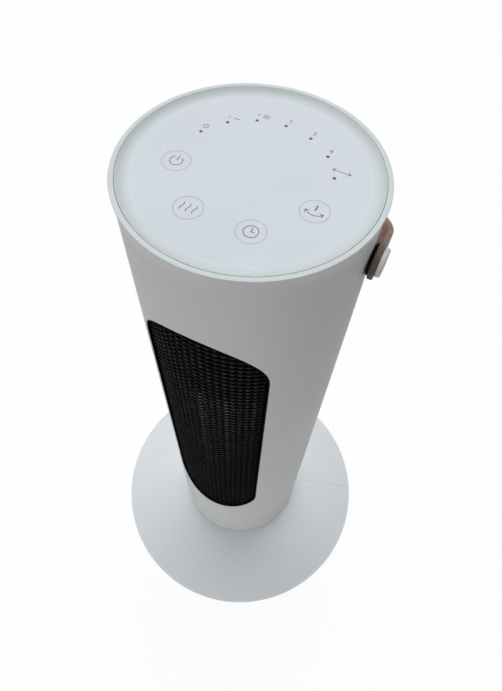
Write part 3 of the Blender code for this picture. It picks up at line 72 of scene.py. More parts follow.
bpy.ops.object.camera_add(location=CAMERA_PLACE)
camera = bpy.context.object
turn = Matrix.Rotation(CAMERA_HEADING, 4, "Z")
tip = Matrix.Rotation(QUARTER_TURN - CAMERA_PITCH, 4, "X")
roll = Matrix.Rotation(CAMERA_ROLL, 4, "Z")
camera.matrix_world = Matrix.Translation(CAMERA_PLACE) @ turn @ tip @ roll
camera.data.lens = LENS
camera.data.sensor_width = SENSOR
camera.data.clip_start = CLIP_START
bpy.context.scene.camera = camera
print("camera looks along", [round(x, 3) for x in camera.matrix_world.to_3x3() @ Vector((0, 0, -1))])

# %% [markdown]
# ## Shader maths as expressions
# A material is a tree of small nodes. Wiring them by hand in code takes many lines, so this class wraps
# one output and lets the usual signs build the Math nodes: `1 - mask * 0.3` adds two of them.

# %% A wire between nodes
class Wire:
    """One output of a material's tree, which can be used in sums."""

    def __init__(self, tree, socket=None):
        self.tree = tree
        self.socket = socket

    def node(self, kind, settings=None, inputs=None, output=0):
        """Adds a node: its settings first, then the values or wires of its inputs."""
        made = self.tree.nodes.new("ShaderNode" + kind)
        for name, value in (settings or {}).items():
            setattr(made, name, value)
        for name, value in (inputs or {}).items():
            if isinstance(value, Wire):
                self.tree.links.new(value.socket, made.inputs[name])
            else:
                made.inputs[name].default_value = value
        return Wire(self.tree, made.outputs[output])

    def sum(self, operation, first, second):
        return self.node("Math", {"operation": operation}, {0: first, 1: second})

    def __add__(self, other):
        return self.sum("ADD", self, other)

    def __radd__(self, other):
        return self.sum("ADD", other, self)

    def __sub__(self, other):
        return self.sum("SUBTRACT", self, other)

    def __rsub__(self, other):
        return self.sum("SUBTRACT", other, self)

    def __mul__(self, other):
        return self.sum("MULTIPLY", self, other)

    def ramp(self, low, high):
        """0 below low and 1 above high, with a soft step between."""
        settings = {"interpolation_type": "SMOOTHSTEP"}
        return self.node("MapRange", settings, {"Value": self, "From Min": low, "From Max": high})

    def blend(self, colour, other):
        """One colour where this is 0, and the other where it is 1."""
        colour, other = [one if isinstance(one, Wire) else (*one, 1.0) for one in (colour, other)]
        return self.node("Mix", {"data_type": "RGBA"}, {0: self, 6: colour, 7: other}, 2)


# %% Grain and speckle
def new_finish(name):
    """A material with its Principled shader, and a wire to start its tree from."""
    finish = bpy.data.materials.new(name)
    finish.use_nodes = True
    return finish, finish.node_tree.nodes["Principled BSDF"], Wire(finish.node_tree)


def place(wire, stretch=(1.0, 1.0, 1.0)):
    """The point on the piece, in metres, stretched along its axes."""
    point = wire.node("TexCoord", output=3)
    return wire.node("Mapping", None, {"Vector": point, "Scale": stretch})


def place_along(wire, axis):
    """The point's distance from the origin along one axis: 0, 1 or 2 for X, Y or Z."""
    return wire.node("SeparateXYZ", None, {0: place(wire)}, axis)


def length_of(wire, vector):
    return wire.node("VectorMath", {"operation": "LENGTH"}, {0: vector}, 1)


def across_axis(wire):
    """The distance from the upright axis, in metres."""
    return length_of(wire, place(wire, (1.0, 1.0, 0.0)))


def noise(wire, size, detail=2.0, stretch=(1.0, 1.0, 1.0)):
    """Soft cloudy variation from 0 to 1, whose lumps are about `size` metres."""
    inputs = {"Vector": place(wire, stretch), "Scale": 1 / size, "Detail": detail, "Roughness": 0.55}
    return wire.node("TexNoise", None, inputs)


def tone(colour, share):
    """A colour made lighter or darker by a share."""
    return tuple(part * share for part in colour)


def feed(shader, name, wire):
    wire.tree.links.new(wire.socket, shader.inputs[name])


def paint(shader, colour, roughness, height=None, depth=0.0):
    """Feeds a shader its colour, its roughness and, where one is given, a bump of a depth in metres."""
    feed(shader, "Base Color", colour)
    feed(shader, "Roughness", roughness)
    if height:
        bump = {"Height": height, "Distance": depth, "Strength": 1.0}
        feed(shader, "Normal", height.node("Bump", None, bump))


# %% [markdown]
# ## Moulded plastics
# The heater's skin is injection-moulded ABS. The mould is spark-eroded, which leaves a very fine even
# grain, so the gloss is satin. Two sizes of noise do it: one of 0.35 mm in the bump for the grain, and a
# broad one in colour and roughness, because no large moulding is perfectly even and hands polish it.

# %% Plastic finishes
FINE_GRAIN = 0.35 * MM
CLOUD_SIZE = 60 * MM


def plastic(name, colour, roughness, grain=FINE_GRAIN, depth=0.012 * MM, unevenness=0.03, shine=0.5):
    """Moulded plastic, by the size and depth of its grain and the unevenness of its colour."""
    finish, shader, wire = new_finish(name)
    shade = noise(wire, CLOUD_SIZE, 3.0).ramp(0.3, 0.7).blend(tone(colour, 1 - unevenness), colour)
    polish = noise(wire, 18 * MM, 4.0)
    paint(shader, shade, roughness + (polish - 0.5) * 0.12, noise(wire, grain, 1.0), depth)
    shader.inputs["Specular IOR Level"].default_value = shine
    return finish


white_plastic = plastic("white_plastic", (0.73, 0.738, 0.73), 0.5, shine=0.12)
base_plastic = plastic("base_plastic", (0.69, 0.73, 0.765), 0.3, depth=0.006 * MM)
grey_plastic = plastic("grey_plastic", (0.2, 0.205, 0.21), 0.55, 0.5 * MM, 0.03 * MM, 0.12)
nylon = plastic("nylon", (0.72, 0.69, 0.6), 0.45, 0.6 * MM, 0.01 * MM, 0.08)
print("plastics made")

# %% [markdown]
# ## The other finishes
# The mesh is black polypropylene, a little dusty, with a painted highlight along the fronts of its columns.
# The panel is printed under a clear glossy sheet, which the Coat gives: a mirror-like skin over a softer
# white. Screws are zinc plated, motor cans pressed steel, fins bare aluminium with rolling marks, and the
# heater's frame is brown phenolic resin. The aluminium and the fins are painted dark, as painted shade of
# the tower's inside. The circuit boards are green with paler copper tracks under the lacquer.

# %% Mesh, panel, ink, rubber and resin
MESH_PITCH = math.radians(4.15)
CREST_START = 71.0 * MM
CREST_END = 71.8 * MM
# A painted highlight on the fronts of the mesh's columns, stronger higher up, and the reach of painted shade
# where the outlet's edge would shade them.
CREST_HIGHLIGHT_HEIGHTS = (300 * MM, 460 * MM)
CREST_EDGE_SHADE_REACH = (1 * MM, 11 * MM)
CREST_HIGHLIGHT_COLOUR = (0.06, 0.06, 0.066)
# A painted highlight where the cove meets the flat, and painted shade that deepens up the cove to its lip.
COVE_LIGHT_RISE = (63 * MM, 64.5 * MM)
COVE_LIGHT_FALL = (64.8 * MM, 66 * MM)
COVE_FOOT_REACH = (64.5 * MM, 66.5 * MM)
COVE_PAINTED_SHADE_REACH = (66.5 * MM, 71 * MM)
OUTLET_HALF_WIDTH = 45.2 * MM
OUTLET_TOP = 511.5 * MM
OUTLET_BOTTOM = 153.0 * MM
ARCH_MIDDLE = OUTLET_TOP - OUTLET_HALF_WIDTH
LOWER_ARCH_MIDDLE = OUTLET_BOTTOM + OUTLET_HALF_WIDTH


def black_plastic(name, crests=0):
    """Black polypropylene. With crests, a painted highlight runs down each mesh column's front, stronger
    higher up, with painted shade near the outlet's edge.
    """
    finish, shader, wire = new_finish(name)
    dust = noise(wire, 9 * MM, 4.0).ramp(0.35, 0.75)
    shade = dust.blend((0.0025, 0.0025, 0.0032), (0.005, 0.005, 0.0062))
    if crests:
        x, y, z = [place_along(wire, axis) for axis in range(3)]
        columns = wire.sum("ARCTAN2", x, y * -1) * (1 / crests) + 0.5
        aside = wire.sum("PINGPONG", columns, 0.5)
        front = across_axis(wire).ramp(CREST_START, CREST_END)
        # The crest is a painted highlight, broken into patches, and painted shade takes it away near the
        # outlet's edge.
        highlight_patches = noise(wire, 14 * MM, 3.0).ramp(0.3, 0.65)
        arch = wire.sum("MAXIMUM", z - ARCH_MIDDLE, 0.0)
        inwards = OUTLET_HALF_WIDTH - length_of(wire, wire.node("CombineXYZ", None, {0: x, 2: arch}))
        upper = 0.35 + z.ramp(*CREST_HIGHLIGHT_HEIGHTS) * 0.65
        painted_highlight = (1 - aside.ramp(0.1, 0.42)) * front * upper * (0.3 + highlight_patches * 0.7)
        shade = (painted_highlight * inwards.ramp(*CREST_EDGE_SHADE_REACH)).blend(shade, CREST_HIGHLIGHT_COLOUR)
    paint(shader, shade, 0.42 + dust * 0.2, noise(wire, 0.4 * MM, 1.0), 0.02 * MM)
    shader.inputs["Specular IOR Level"].default_value = 0.025
    return finish


def gloss_panel():
    """The panel's sheet. Its tone changes by the radius: a painted highlight where the cove meets the flat,
    the cove's own tone at its foot, and painted shade up to its lip.
    """
    finish, shader, wire = new_finish("panel_gloss")
    radius = across_axis(wire)
    shade = noise(wire, 70 * MM, 2.0).ramp(0.3, 0.7).blend((0.6, 0.645, 0.71), (0.625, 0.672, 0.735))
    painted_edge_highlight = radius.ramp(*COVE_LIGHT_RISE) * (1 - radius.ramp(*COVE_LIGHT_FALL)) * 0.3
    for mask, colour in ((painted_edge_highlight, (0.68, 0.72, 0.765)),
                         (radius.ramp(*COVE_FOOT_REACH), (0.585, 0.643, 0.653)),
                         (radius.ramp(*COVE_PAINTED_SHADE_REACH), (0.53, 0.585, 0.595))):
        shade = mask.blend(shade, colour)
    smear = noise(wire, 30 * MM, 2.0, (1.0, 1.6, 1.0)).ramp(0.35, 0.8)
    paint(shader, shade, 0.22 + smear * 0.06)
    shader.inputs["Coat Roughness"].default_value = 0.08
    feed(shader, "Coat Weight", 0.8 - smear * 0.08)
    return finish


def ink(name, colour):
    finish, shader, wire = new_finish(name)
    speckle = noise(wire, 0.25 * MM, 2.0)
    shade = speckle.ramp(0.3, 0.8).blend(tone(colour, 0.85), tone(colour, 1.25))
    paint(shader, shade, 0.35 + speckle * 0.2)
    return finish


def flecked(name, lump, edges, colours, roughness, grain, depth):
    """A dull moulding with dust or flecks on it, which are paler and rougher."""
    finish, shader, wire = new_finish(name)
    fleck = noise(wire, lump, 4.0).ramp(*edges)
    paint(shader, fleck.blend(*colours), roughness + fleck * 0.2, noise(wire, grain, 2.0), depth)
    return finish


inner_plastic = black_plastic("black_plastic")
mesh_plastic = black_plastic("mesh_plastic", MESH_PITCH)
panel_gloss = gloss_panel()
ring_ink = ink("ring_ink", (0.34, 0.385, 0.435))
sign_ink = ink("sign_ink", (0.15, 0.152, 0.16))
lamp_window = ink("lamp_window", (0.07, 0.062, 0.06))
rubber = flecked("rubber", 5 * MM, (0.4, 0.8), ((0.02, 0.02, 0.02), (0.055, 0.053, 0.05)),
                 0.75, 0.5 * MM, 0.04 * MM)
heat_resin = flecked("heat_plastic", 1.5 * MM, (0.45, 0.65), ((0.05, 0.03, 0.022), (0.1, 0.065, 0.045)),
                     0.5, 0.6 * MM, 0.03 * MM)
print("mesh, panel, ink, rubber and resin made")


# %% Metals, board and leather
def metal(name, colour, roughness, stretch, scratch_depth):
    """Bare metal whose rolling or turning marks run along the axis that is stretched least."""
    finish, shader, wire = new_finish(name)
    streak = noise(wire, 1.2 * MM, 3.0, stretch)
    shade = noise(wire, 16 * MM, 3.0).ramp(0.3, 0.75).blend(tone(colour, 0.82), colour)
    paint(shader, shade, roughness + (streak - 0.5) * 0.2, streak, scratch_depth)
    shader.inputs["Metallic"].default_value = 1.0
    return finish


def cells(wire, size, randomness, **settings):
    """A pattern of cells of about `size` metres."""
    inputs = {"Vector": place(wire), "Scale": 1 / size, "Randomness": randomness}
    return wire.node("TexVoronoi", settings, inputs)


def circuit_board():
    finish, shader, wire = new_finish("circuit_board")
    copper = cells(wire, 6 * MM, 0.6, distance="CHEBYCHEV", feature="F1").ramp(0.36, 0.4)
    shade = copper.blend((0.012, 0.09, 0.035), (0.04, 0.2, 0.07))
    paint(shader, shade, 0.3 + noise(wire, 3 * MM, 2.0) * 0.2, copper, 0.05 * MM)
    return finish


# Painted shade: the strap darkens towards its front ends, below the buttons.
DARK_LEATHER_REACH = (-11 * MM, 2.5 * MM)
DARK_LEATHER = (0.062, 0.034, 0.023)


def leather(name, tans, crease_colour):
    """Pebbled leather, paler in places from wear. The creases are darker, and the strap's front ends carry
    painted shade.
    """
    finish, shader, wire = new_finish(name)
    pebble = cells(wire, 1.1 * MM, 1.0, feature="DISTANCE_TO_EDGE").ramp(0.0, 0.22)
    tan = noise(wire, 11 * MM, 4.0).ramp(0.35, 0.7).blend(*tans)
    end_shade = (1 - place_along(wire, 1).ramp(*DARK_LEATHER_REACH)) * 0.9
    shade = end_shade.blend(pebble.blend(crease_colour, tan), DARK_LEATHER)
    roughness = 0.62 - pebble * 0.12 + (noise(wire, 4 * MM, 2.0) - 0.5) * 0.15
    paint(shader, shade, roughness, pebble + noise(wire, 0.3 * MM, 2.0) * 0.3, 0.09 * MM)
    return finish


steel = metal("steel", (0.55, 0.56, 0.57), 0.34, (1.0, 1.0, 6.0), 0.01 * MM)
zinc = metal("zinc", (0.62, 0.64, 0.66), 0.28, (3.0, 3.0, 3.0), 0.01 * MM)
# The aluminium and the fins are painted far darker than bare metal: painted shade of the tower's dark
# inside.
aluminium = metal("aluminium", (0.3, 0.3, 0.29), 0.55, (1.0, 1.0, 8.0), 0.008 * MM)
dull_fins = metal("dull_fins", (0.42, 0.41, 0.4), 0.5, (1.0, 8.0, 1.0), 0.008 * MM)
board_green = circuit_board()
strap_leather = leather("leather", ((0.22, 0.14, 0.096), (0.33, 0.22, 0.152)), (0.12, 0.072, 0.048))
# The strap's back is the leather's paler flesh side, painted paler still: painted light against the shade
# inside the loop.
strap_back = leather("leather_back", ((0.48, 0.31, 0.235), (0.58, 0.38, 0.29)), (0.38, 0.245, 0.185))
print("metals, board and leather made")

# %% [markdown]
# ## Working in edit mode
# Every operator acts on what is selected, so each step here starts by selecting one piece alone. Points,
# edges and faces are then chosen by where they are, which is what a modeller does with the mouse.

# %% Selecting
def only(piece):
    """Selects one piece alone and makes it the active one."""
    bpy.ops.object.select_all(action="DESELECT")
    piece.select_set(True)
    bpy.context.view_layer.objects.active = piece


def pick_none(kind):
    """Goes on with points, edges or faces, and none of them selected."""
    bpy.ops.mesh.select_mode(type=kind)
    bpy.ops.mesh.select_all(action="DESELECT")


def pick_all():
    bpy.ops.mesh.select_all(action="SELECT")


def open_piece(piece, kind="FACE"):
    only(piece)
    bpy.ops.object.mode_set(mode="EDIT")
    pick_none(kind)


def close_piece():
    bpy.ops.object.mode_set(mode="OBJECT")


def pick(piece, items, test):
    """Selects the items of a kind that pass the test, and returns how many."""
    shape = bmesh.from_edit_mesh(piece.data)
    chosen = [item for item in getattr(shape, items) if test(item)]
    for item in chosen:
        item.select_set(True)
    bmesh.update_edit_mesh(piece.data)
    return len(chosen)


def pick_points(piece, test):
    return pick(piece, "verts", lambda point: test(point.co))


def pick_edges(piece, test):
    """Selects the edges by a test of their two ends."""
    return pick(piece, "edges", lambda edge: test(edge.verts[0].co, edge.verts[1].co))


def pick_faces(piece, test):
    """Selects the faces by a test of their middle and normal."""
    return pick(piece, "faces", lambda face: test(face.calc_center_median(), face.normal))


def draw_out(x, y, z):
    """Extrudes what is selected, by these steps along the axes."""
    bpy.ops.mesh.extrude_region_move(TRANSFORM_OT_translate={"value": (x, y, z)})


# %% Placing and finishing a piece
MERGE_DISTANCE = 0.002 * MM


def settle(piece):
    """Puts a piece's place and turn into its mesh, so its object sits at the origin."""
    only(piece)
    bpy.ops.object.transform_apply(location=True, rotation=True, scale=True)


def put(piece, spot=(0, 0, 0), turn=(0, 0, 0), scale=(1, 1, 1)):
    """Scales, turns and moves a piece, and settles it there."""
    piece.scale = scale
    piece.rotation_euler = turn
    piece.location = spot
    settle(piece)
    return piece


def cube(scale, spot=(0, 0, 0), turn=(0, 0, 0)):
    bpy.ops.mesh.primitive_cube_add(size=1)
    return put(bpy.context.object, spot, turn, scale)


def plane(scale, spot, turn):
    bpy.ops.mesh.primitive_plane_add(size=1)
    return put(bpy.context.object, spot, turn, scale)


def copy_of(piece):
    """Another piece with its own mesh."""
    only(piece)
    bpy.ops.object.duplicate()
    return bpy.context.object


def discard(piece):
    bpy.data.objects.remove(piece, do_unlink=True)


def modify(piece, kind, **settings):
    """Adds one modifier, sets it and applies it."""
    modifier = piece.modifiers.new(kind, kind)
    for name, value in settings.items():
        setattr(modifier, name, value)
    only(piece)
    bpy.ops.object.modifier_apply(modifier=modifier.name)


def repeat_up(piece, count, pitch, **settings):
    """Repeats a piece upwards."""
    modify(piece, "ARRAY", count=count, use_relative_offset=False, use_constant_offset=True,
           constant_offset_displace=(0, 0, pitch), **settings)


def cut_with(piece, cutter, operation="DIFFERENCE"):
    """Cuts one piece with another, which is used up."""
    modify(piece, "BOOLEAN", object=cutter, operation=operation, solver="EXACT")
    discard(cutter)


def clean(piece):
    """Merges doubled points and turns every face outwards."""
    open_piece(piece)
    pick_all()
    bpy.ops.mesh.remove_doubles(threshold=MERGE_DISTANCE)
    bpy.ops.mesh.normals_make_consistent(inside=False)
    close_piece()


def fuse(pieces):
    """Joins several pieces into the first of them."""
    bpy.ops.object.select_all(action="DESELECT")
    for piece in pieces:
        piece.select_set(True)
    bpy.context.view_layer.objects.active = pieces[0]
    bpy.ops.object.join()
    return pieces[0]


def dress(piece, name, body, finish, smooth=35):
    """Names a finished piece, shades it, gives it its finish and lets it ride on its body."""
    piece.name = name
    settle(piece)
    bpy.ops.object.shade_smooth_by_angle(angle=math.radians(smooth))
    piece.data.materials.clear()
    piece.data.materials.append(finish)
    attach(piece, body)
    print(name, len(piece.data.polygons), "faces")


# %% [markdown]
# ## Floor and light
# A product shot on white: two large soft lamps overhead give the bright top and the darker walls, one in
# front and a weaker one to the right lift the walls, and the world fills in. The camera sees the world,
# and most of the floor, as plain white. The floor keeps a share of its real shading, and with it the
# shadow.

# %% Floor
AMBIENT = 0.04
FLOOR_SIZE = 8
FLOOR_WHITENESS = 0.9
PAPER_NEAR = 0.3
PAPER_FAR = 1.2


def grey(share):
    return (share, share, share)


def seen_rays(wire):
    """1 for camera, glossy and transmission rays, and 0 for the rays that only carry light."""
    return wire.node("LightPath") + wire.node("LightPath", output=3) + wire.node("LightPath", output=6)


bpy.ops.mesh.primitive_plane_add(size=FLOOR_SIZE, location=(0, 0, 0))
floor = bpy.context.object
floor.name = "floor"
settle(floor)
floor_finish, unused_shader, wire = new_finish("studio_floor")
wire.tree.nodes.remove(unused_shader)
seen = seen_rays(wire)
mottle = noise(wire, 0.4, 2.0).blend(grey(0.78), grey(0.82))
mottle = across_axis(wire).ramp(PAPER_NEAR, PAPER_FAR).blend(mottle, grey(0.25))
paper = wire.node("BsdfDiffuse", None, {"Color": seen.blend(mottle, grey(0.95))})
white = wire.node("Emission", None, {"Strength": 1.0})
lit = wire.node("MixShader", None, {0: seen * FLOOR_WHITENESS, 1: paper, 2: white})
wire.tree.links.new(lit.socket, wire.tree.nodes["Material Output"].inputs["Surface"])
floor.data.materials.append(floor_finish)

# %% World and lamps
bpy.context.scene.view_settings.view_transform = "Standard"
world = bpy.data.worlds.new("studio")
bpy.context.scene.world = world
world.use_nodes = True
wire = Wire(world.node_tree)
background = world.node_tree.nodes["Background"]
background.inputs["Color"].default_value = (1.0, 1.0, 1.0, 1.0)
feed(background, "Strength", AMBIENT + seen_rays(wire) * (1 - AMBIENT))


def lamp(name, comes_from, spread, strength, colour=(1.0, 1.0, 1.0)):
    """A soft lamp far away, seen as a bright patch `spread` degrees wide in that direction."""
    bpy.ops.object.light_add(type="SUN", location=comes_from)
    made = bpy.context.object
    made.name = name
    made.rotation_euler = Vector(comes_from).to_track_quat("Z", "Y").to_euler()
    made.data.angle = math.radians(spread)
    made.data.energy = strength
    made.data.color = colour
    made.visible_glossy = False


lamp("lamp_overhead", (-0.6, 1.3, 2.0), 60, 1.69)
lamp("lamp_top", (-0.1, 0.3, 2.0), 60, 1.01)
lamp("lamp_front", (-0.2, -1.0, 0.45), 100, 1.04)
lamp("lamp_right", (0.7, -1.0, 0.3), 80, 0.17, (1.0, 1.0, 0.98))

# %% [markdown]
# ## Round pieces
# The foot, the rim, the panel and the studs are all round. As on a lathe, they come from a profile: a
# circle is added for its first point, and drawn out ring by ring to each next one, with an extrude and a
# resize. A profile that ends where it began closes into a ring, once the doubled points are merged. One
# that starts on the axis gets a first circle that is filled, and one that ends there shrinks to a point.
# Walls and curved strokes are a part of a turn: an upright rectangle, spun round the axis.

# %% Lathe and spin
ROUND_STEPS = 192
AXIS_RADIUS = 1e-9


def turned(profile, steps):
    """Turns (radius, height) points about the Z axis. A radius of 0 at either end closes that end."""
    capped = profile[0][0] == 0
    if capped:
        profile = profile[1:]
    radius, height = profile[0]
    bpy.ops.mesh.primitive_circle_add(vertices=steps, radius=radius, location=(0, 0, height),
                                      fill_type="TRIFAN" if capped else "NOTHING")
    piece = bpy.context.object
    settle(piece)
    open_piece(piece, "EDGE")
    pick_edges(piece, lambda a, b: min(a.xy.length, b.xy.length) > radius / 2)
    for next_radius, next_height in profile[1:]:
        rise = {"value": (0, 0, next_height - height)}
        bpy.ops.mesh.extrude_edges_move(TRANSFORM_OT_translate=rise)
        share = next_radius / radius
        if next_radius != radius:
            bpy.ops.transform.resize(value=(share, share, 1), center_override=(0, 0, 0))
        radius, height = max(next_radius, AXIS_RADIUS), next_height
    close_piece()
    clean(piece)
    return piece


def arc(centre, radius, start, end, steps):
    """Points of a circle's arc in the profile's plane, from one angle in degrees to another."""
    points = []
    for step in range(steps + 1):
        angle = math.radians(start + (end - start) * step / steps)
        points.append((centre[0] + radius * math.cos(angle), centre[1] + radius * math.sin(angle)))
    return points


def spun(width, height, radius, level, start, angle, steps):
    """An upright rectangle at a radius from the axis, spun round it from a start angle."""
    piece = plane((width, height, 1), (radius, 0, level), (QUARTER_TURN, 0, 0))
    put(piece, turn=(0, 0, start))
    open_piece(piece)
    pick_all()
    bpy.ops.mesh.spin(steps=steps, angle=-angle, center=(0, 0, 0), axis=(0, 0, 1))
    close_piece()
    clean(piece)
    return piece


# %% [markdown]
# ## The domed foot
# The foot is a shallow dome in two halves, whose seam shows as a thin line beside the tower. It is one
# turned shell, with an outer and an inner side. Each half is a copy of it, cut through with bisect. The
# halves meet tight at one side and stand a hair apart at the other, as mouldings do. There the cut's
# edge gets a small bevel, which is what makes a real seam catch the light.

# %% Foot covers
foot_low, foot_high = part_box("base_cover_front")
FOOT_RADIUS = 157.5 * MM
FOOT_TOP = 32.0 * MM
FOOT_FLAT_RADIUS = 72.0 * MM
FOOT_EDGE_TOP = 4.5 * MM
FOOT_EDGE_BOTTOM = 1.5 * MM
FOOT_WALL = 2.5 * MM
FOOT_HOLE_RADIUS = 22.3 * MM
FOOT_TURN = math.radians(23.5)
FALL_STEPS = 24
EDGE_ROUND = 1.2 * MM
SEAM_TIGHT = 0.02 * MM
SEAM_WIDE = 0.18 * MM
SEAM_ROUND = 0.1 * MM
print("foot from", round(foot_low.z, 4), "to", round(foot_high.z, 4))


def foot_height(radius):
    share = max(0, (radius - FOOT_FLAT_RADIUS) / (FOOT_RADIUS - FOOT_FLAT_RADIUS))
    return FOOT_TOP - (FOOT_TOP - FOOT_EDGE_TOP) * share ** 2


edge_radius = FOOT_RADIUS - EDGE_ROUND
falling = [FOOT_FLAT_RADIUS + (edge_radius - FOOT_FLAT_RADIUS) * i / FALL_STEPS
           for i in range(FALL_STEPS + 1)]
foot_profile = [(FOOT_HOLE_RADIUS, FOOT_TOP)] + [(radius, foot_height(radius)) for radius in falling]
foot_profile += arc((edge_radius, foot_height(edge_radius) - EDGE_ROUND), EDGE_ROUND, 60, 0, 4)
foot_profile += [(FOOT_RADIUS, FOOT_EDGE_BOTTOM), (FOOT_RADIUS - FOOT_WALL, FOOT_EDGE_BOTTOM)]
foot_profile += [(radius, foot_height(radius) - FOOT_WALL) for radius in reversed(falling[:-1])]
foot_profile += [(FOOT_HOLE_RADIUS, FOOT_TOP - FOOT_WALL), (FOOT_HOLE_RADIUS, FOOT_TOP)]
whole_foot = turned(foot_profile, ROUND_STEPS)


def half_foot(name, side):
    """One half of the dome, on the side of the seam that is asked for."""
    half = copy_of(whole_foot)
    open_piece(half)
    pick_all()
    turn = FOOT_TURN + side * (SEAM_WIDE - SEAM_TIGHT) / 2 / (2 * FOOT_RADIUS)
    along = Vector((math.cos(turn), math.sin(turn), 0))
    across = Vector((-math.sin(turn), math.cos(turn), 0))
    middle = across * side * (SEAM_WIDE + SEAM_TIGHT) / 4
    bpy.ops.mesh.bisect(plane_co=middle, plane_no=across, use_fill=True,
                        clear_inner=side > 0, clear_outer=side < 0)
    pick_none("FACE")

    def on_seam(a, b):
        return all(abs((p - middle).dot(across)) < SEAM_TIGHT / 4 and p.dot(along) > 0 for p in (a, b))

    found = pick_edges(half, on_seam)
    bpy.ops.mesh.bevel(offset=SEAM_ROUND, segments=2, clamp_overlap=True)
    close_piece()
    print(name, "seam edges:", found)
    dress(half, name, "base", base_plastic)
    return half


foot_front = half_foot("foot_front", -1)
foot_rear = half_foot("foot_rear", 1)
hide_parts("base_cover_front")
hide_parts("base_cover_rear")
discard(whole_foot)

# %% [markdown]
# ## The cord's inlet
# At the foot's rear edge a bushing leads the mains cord in. It is one more turned piece, with a rounded
# mouth and two grooves for the grip, laid down and turned with the foot. The dome gets a real hole for
# it, cut with a cylinder that is a little wider.

# %% Bushing
BUSHING_RADIUS = 5.5 * MM
BUSHING_BORE = 3.6 * MM
BUSHING_LENGTH = 32.0 * MM
BUSHING_MOUTH = 149.5 * MM
BUSHING_HEIGHT = 12.7 * MM
BUSHING_CLEARANCE = 0.25 * MM
COLLAR_RADIUS = 6.9 * MM
COLLAR_LENGTH = 2.0 * MM
LIP_ROUND = 0.9 * MM
GROOVE_STARTS = (24.0 * MM, 27.5 * MM)
GROOVE_DEPTH = 0.5 * MM


def lay_radially(piece):
    """Lays an upright piece down at the bushing's place, with its top outwards."""
    put(piece, (0, BUSHING_MOUTH - BUSHING_LENGTH, BUSHING_HEIGHT), (-QUARTER_TURN, 0, 0))
    put(piece, turn=(0, 0, FOOT_TURN))


bushing_profile = [(BUSHING_BORE, 0), (COLLAR_RADIUS, 0), (COLLAR_RADIUS, COLLAR_LENGTH),
                   (BUSHING_RADIUS, COLLAR_LENGTH)]
for start in GROOVE_STARTS:
    bushing_profile += [(BUSHING_RADIUS - GROOVE_DEPTH * deep, start + GROOVE_DEPTH * step)
                        for deep, step in ((0, 0), (1, 1), (1, 3), (0, 4))]
lip_middle = ((BUSHING_RADIUS + BUSHING_BORE) / 2, BUSHING_LENGTH - LIP_ROUND)
bushing_profile += arc(lip_middle, LIP_ROUND, 0, 180, 8)
bushing_profile += [(BUSHING_BORE, BUSHING_LENGTH - 2 * LIP_ROUND), (BUSHING_BORE, 0)]
bushing = turned(bushing_profile, 48)
lay_radially(bushing)
dress(bushing, "cord_inlet", "base", grey_plastic)
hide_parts("cord_bushing")

bpy.ops.mesh.primitive_cylinder_add(vertices=64, radius=BUSHING_RADIUS + BUSHING_CLEARANCE,
                                    depth=4 * BUSHING_LENGTH)
drill = put(bpy.context.object, (0, 0, BUSHING_LENGTH))
lay_radially(drill)
cut_with(foot_rear, drill)

# %% [markdown]
# ## Below the foot
# Four rubber feet carry the heater, and screws hold plate, dome and shells together. A foot is turned
# with a rounded edge and rings that grip. A screw is turned too, with a domed head and the crests of a
# thread, and its cross recess is cut with two small blocks. Each is made once and copied to its places.

# %% Feet
PAD_RADIUS = 9.0 * MM
PAD_HEIGHT = 1.5 * MM
PAD_ROUND = 0.4 * MM
PAD_GROOVES = (7.4 * MM, 5.6 * MM, 3.8 * MM)
PAD_GROOVE_DEPTH = 0.3 * MM
PAD_GROOVE_STEPS = ((0, 0), (0.2 * MM, PAD_GROOVE_DEPTH), (0.7 * MM, PAD_GROOVE_DEPTH), (0.9 * MM, 0))

pad_profile = [(0, PAD_HEIGHT), (PAD_RADIUS, PAD_HEIGHT)]
pad_profile += arc((PAD_RADIUS - PAD_ROUND, PAD_ROUND), PAD_ROUND, 0, -90, 4)
for radius in PAD_GROOVES:
    pad_profile += [(radius - inwards, height) for inwards, height in PAD_GROOVE_STEPS]
pad_profile.append((0, 0))
pad = turned(pad_profile, 48)
for place_name in ("rear_right", "rear_left", "front_left", "front_right"):
    low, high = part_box("foot_" + place_name)
    made = put(copy_of(pad), ((low.x + high.x) / 2, (low.y + high.y) / 2, 0))
    dress(made, "pad_" + place_name, "base", rubber)
    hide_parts("foot_" + place_name)
discard(pad)

# %% Screws
SCREW_HEAD = 3.0 * MM
SCREW_SHANK = 1.5 * MM
SCREW_CORE = 1.15 * MM
SCREW_HEAD_HEIGHT = 1.2 * MM
MOTOR_SCREW_HEAD_HEIGHT = 1.6 * MM
SCREW_HEAD_SHARES = ((0, 0), (0.55, 0), (0.9, 0.25), (1, 0.6), (1, 1))
SCREW_TIP_SHARE = 0.6
SCREW_TURN = math.radians(37)
THREAD_PITCH = 1.2 * MM
RECESS_WIDTH = 0.7 * MM
RECESS_LENGTH = 3.4 * MM


def screw(height, head_height):
    """A screw that stands on its head at height 0, with its cross recess below."""
    profile = [(SCREW_HEAD * across, head_height * up) for across, up in SCREW_HEAD_SHARES]
    profile.append((SCREW_SHANK, head_height))
    level = head_height + THREAD_PITCH
    while level < height - 1.5 * THREAD_PITCH:
        profile += [(SCREW_CORE, level), (SCREW_CORE, level + THREAD_PITCH * 0.3),
                    (SCREW_SHANK, level + THREAD_PITCH / 2)]
        level += THREAD_PITCH
    profile += [(SCREW_CORE, level), (SCREW_CORE * SCREW_TIP_SHARE, height), (0, height)]
    made = turned(profile, 32)
    for turn in (0, QUARTER_TURN):
        cut_with(made, cube((RECESS_LENGTH, RECESS_WIDTH, head_height), turn=(0, 0, turn)))
    return made


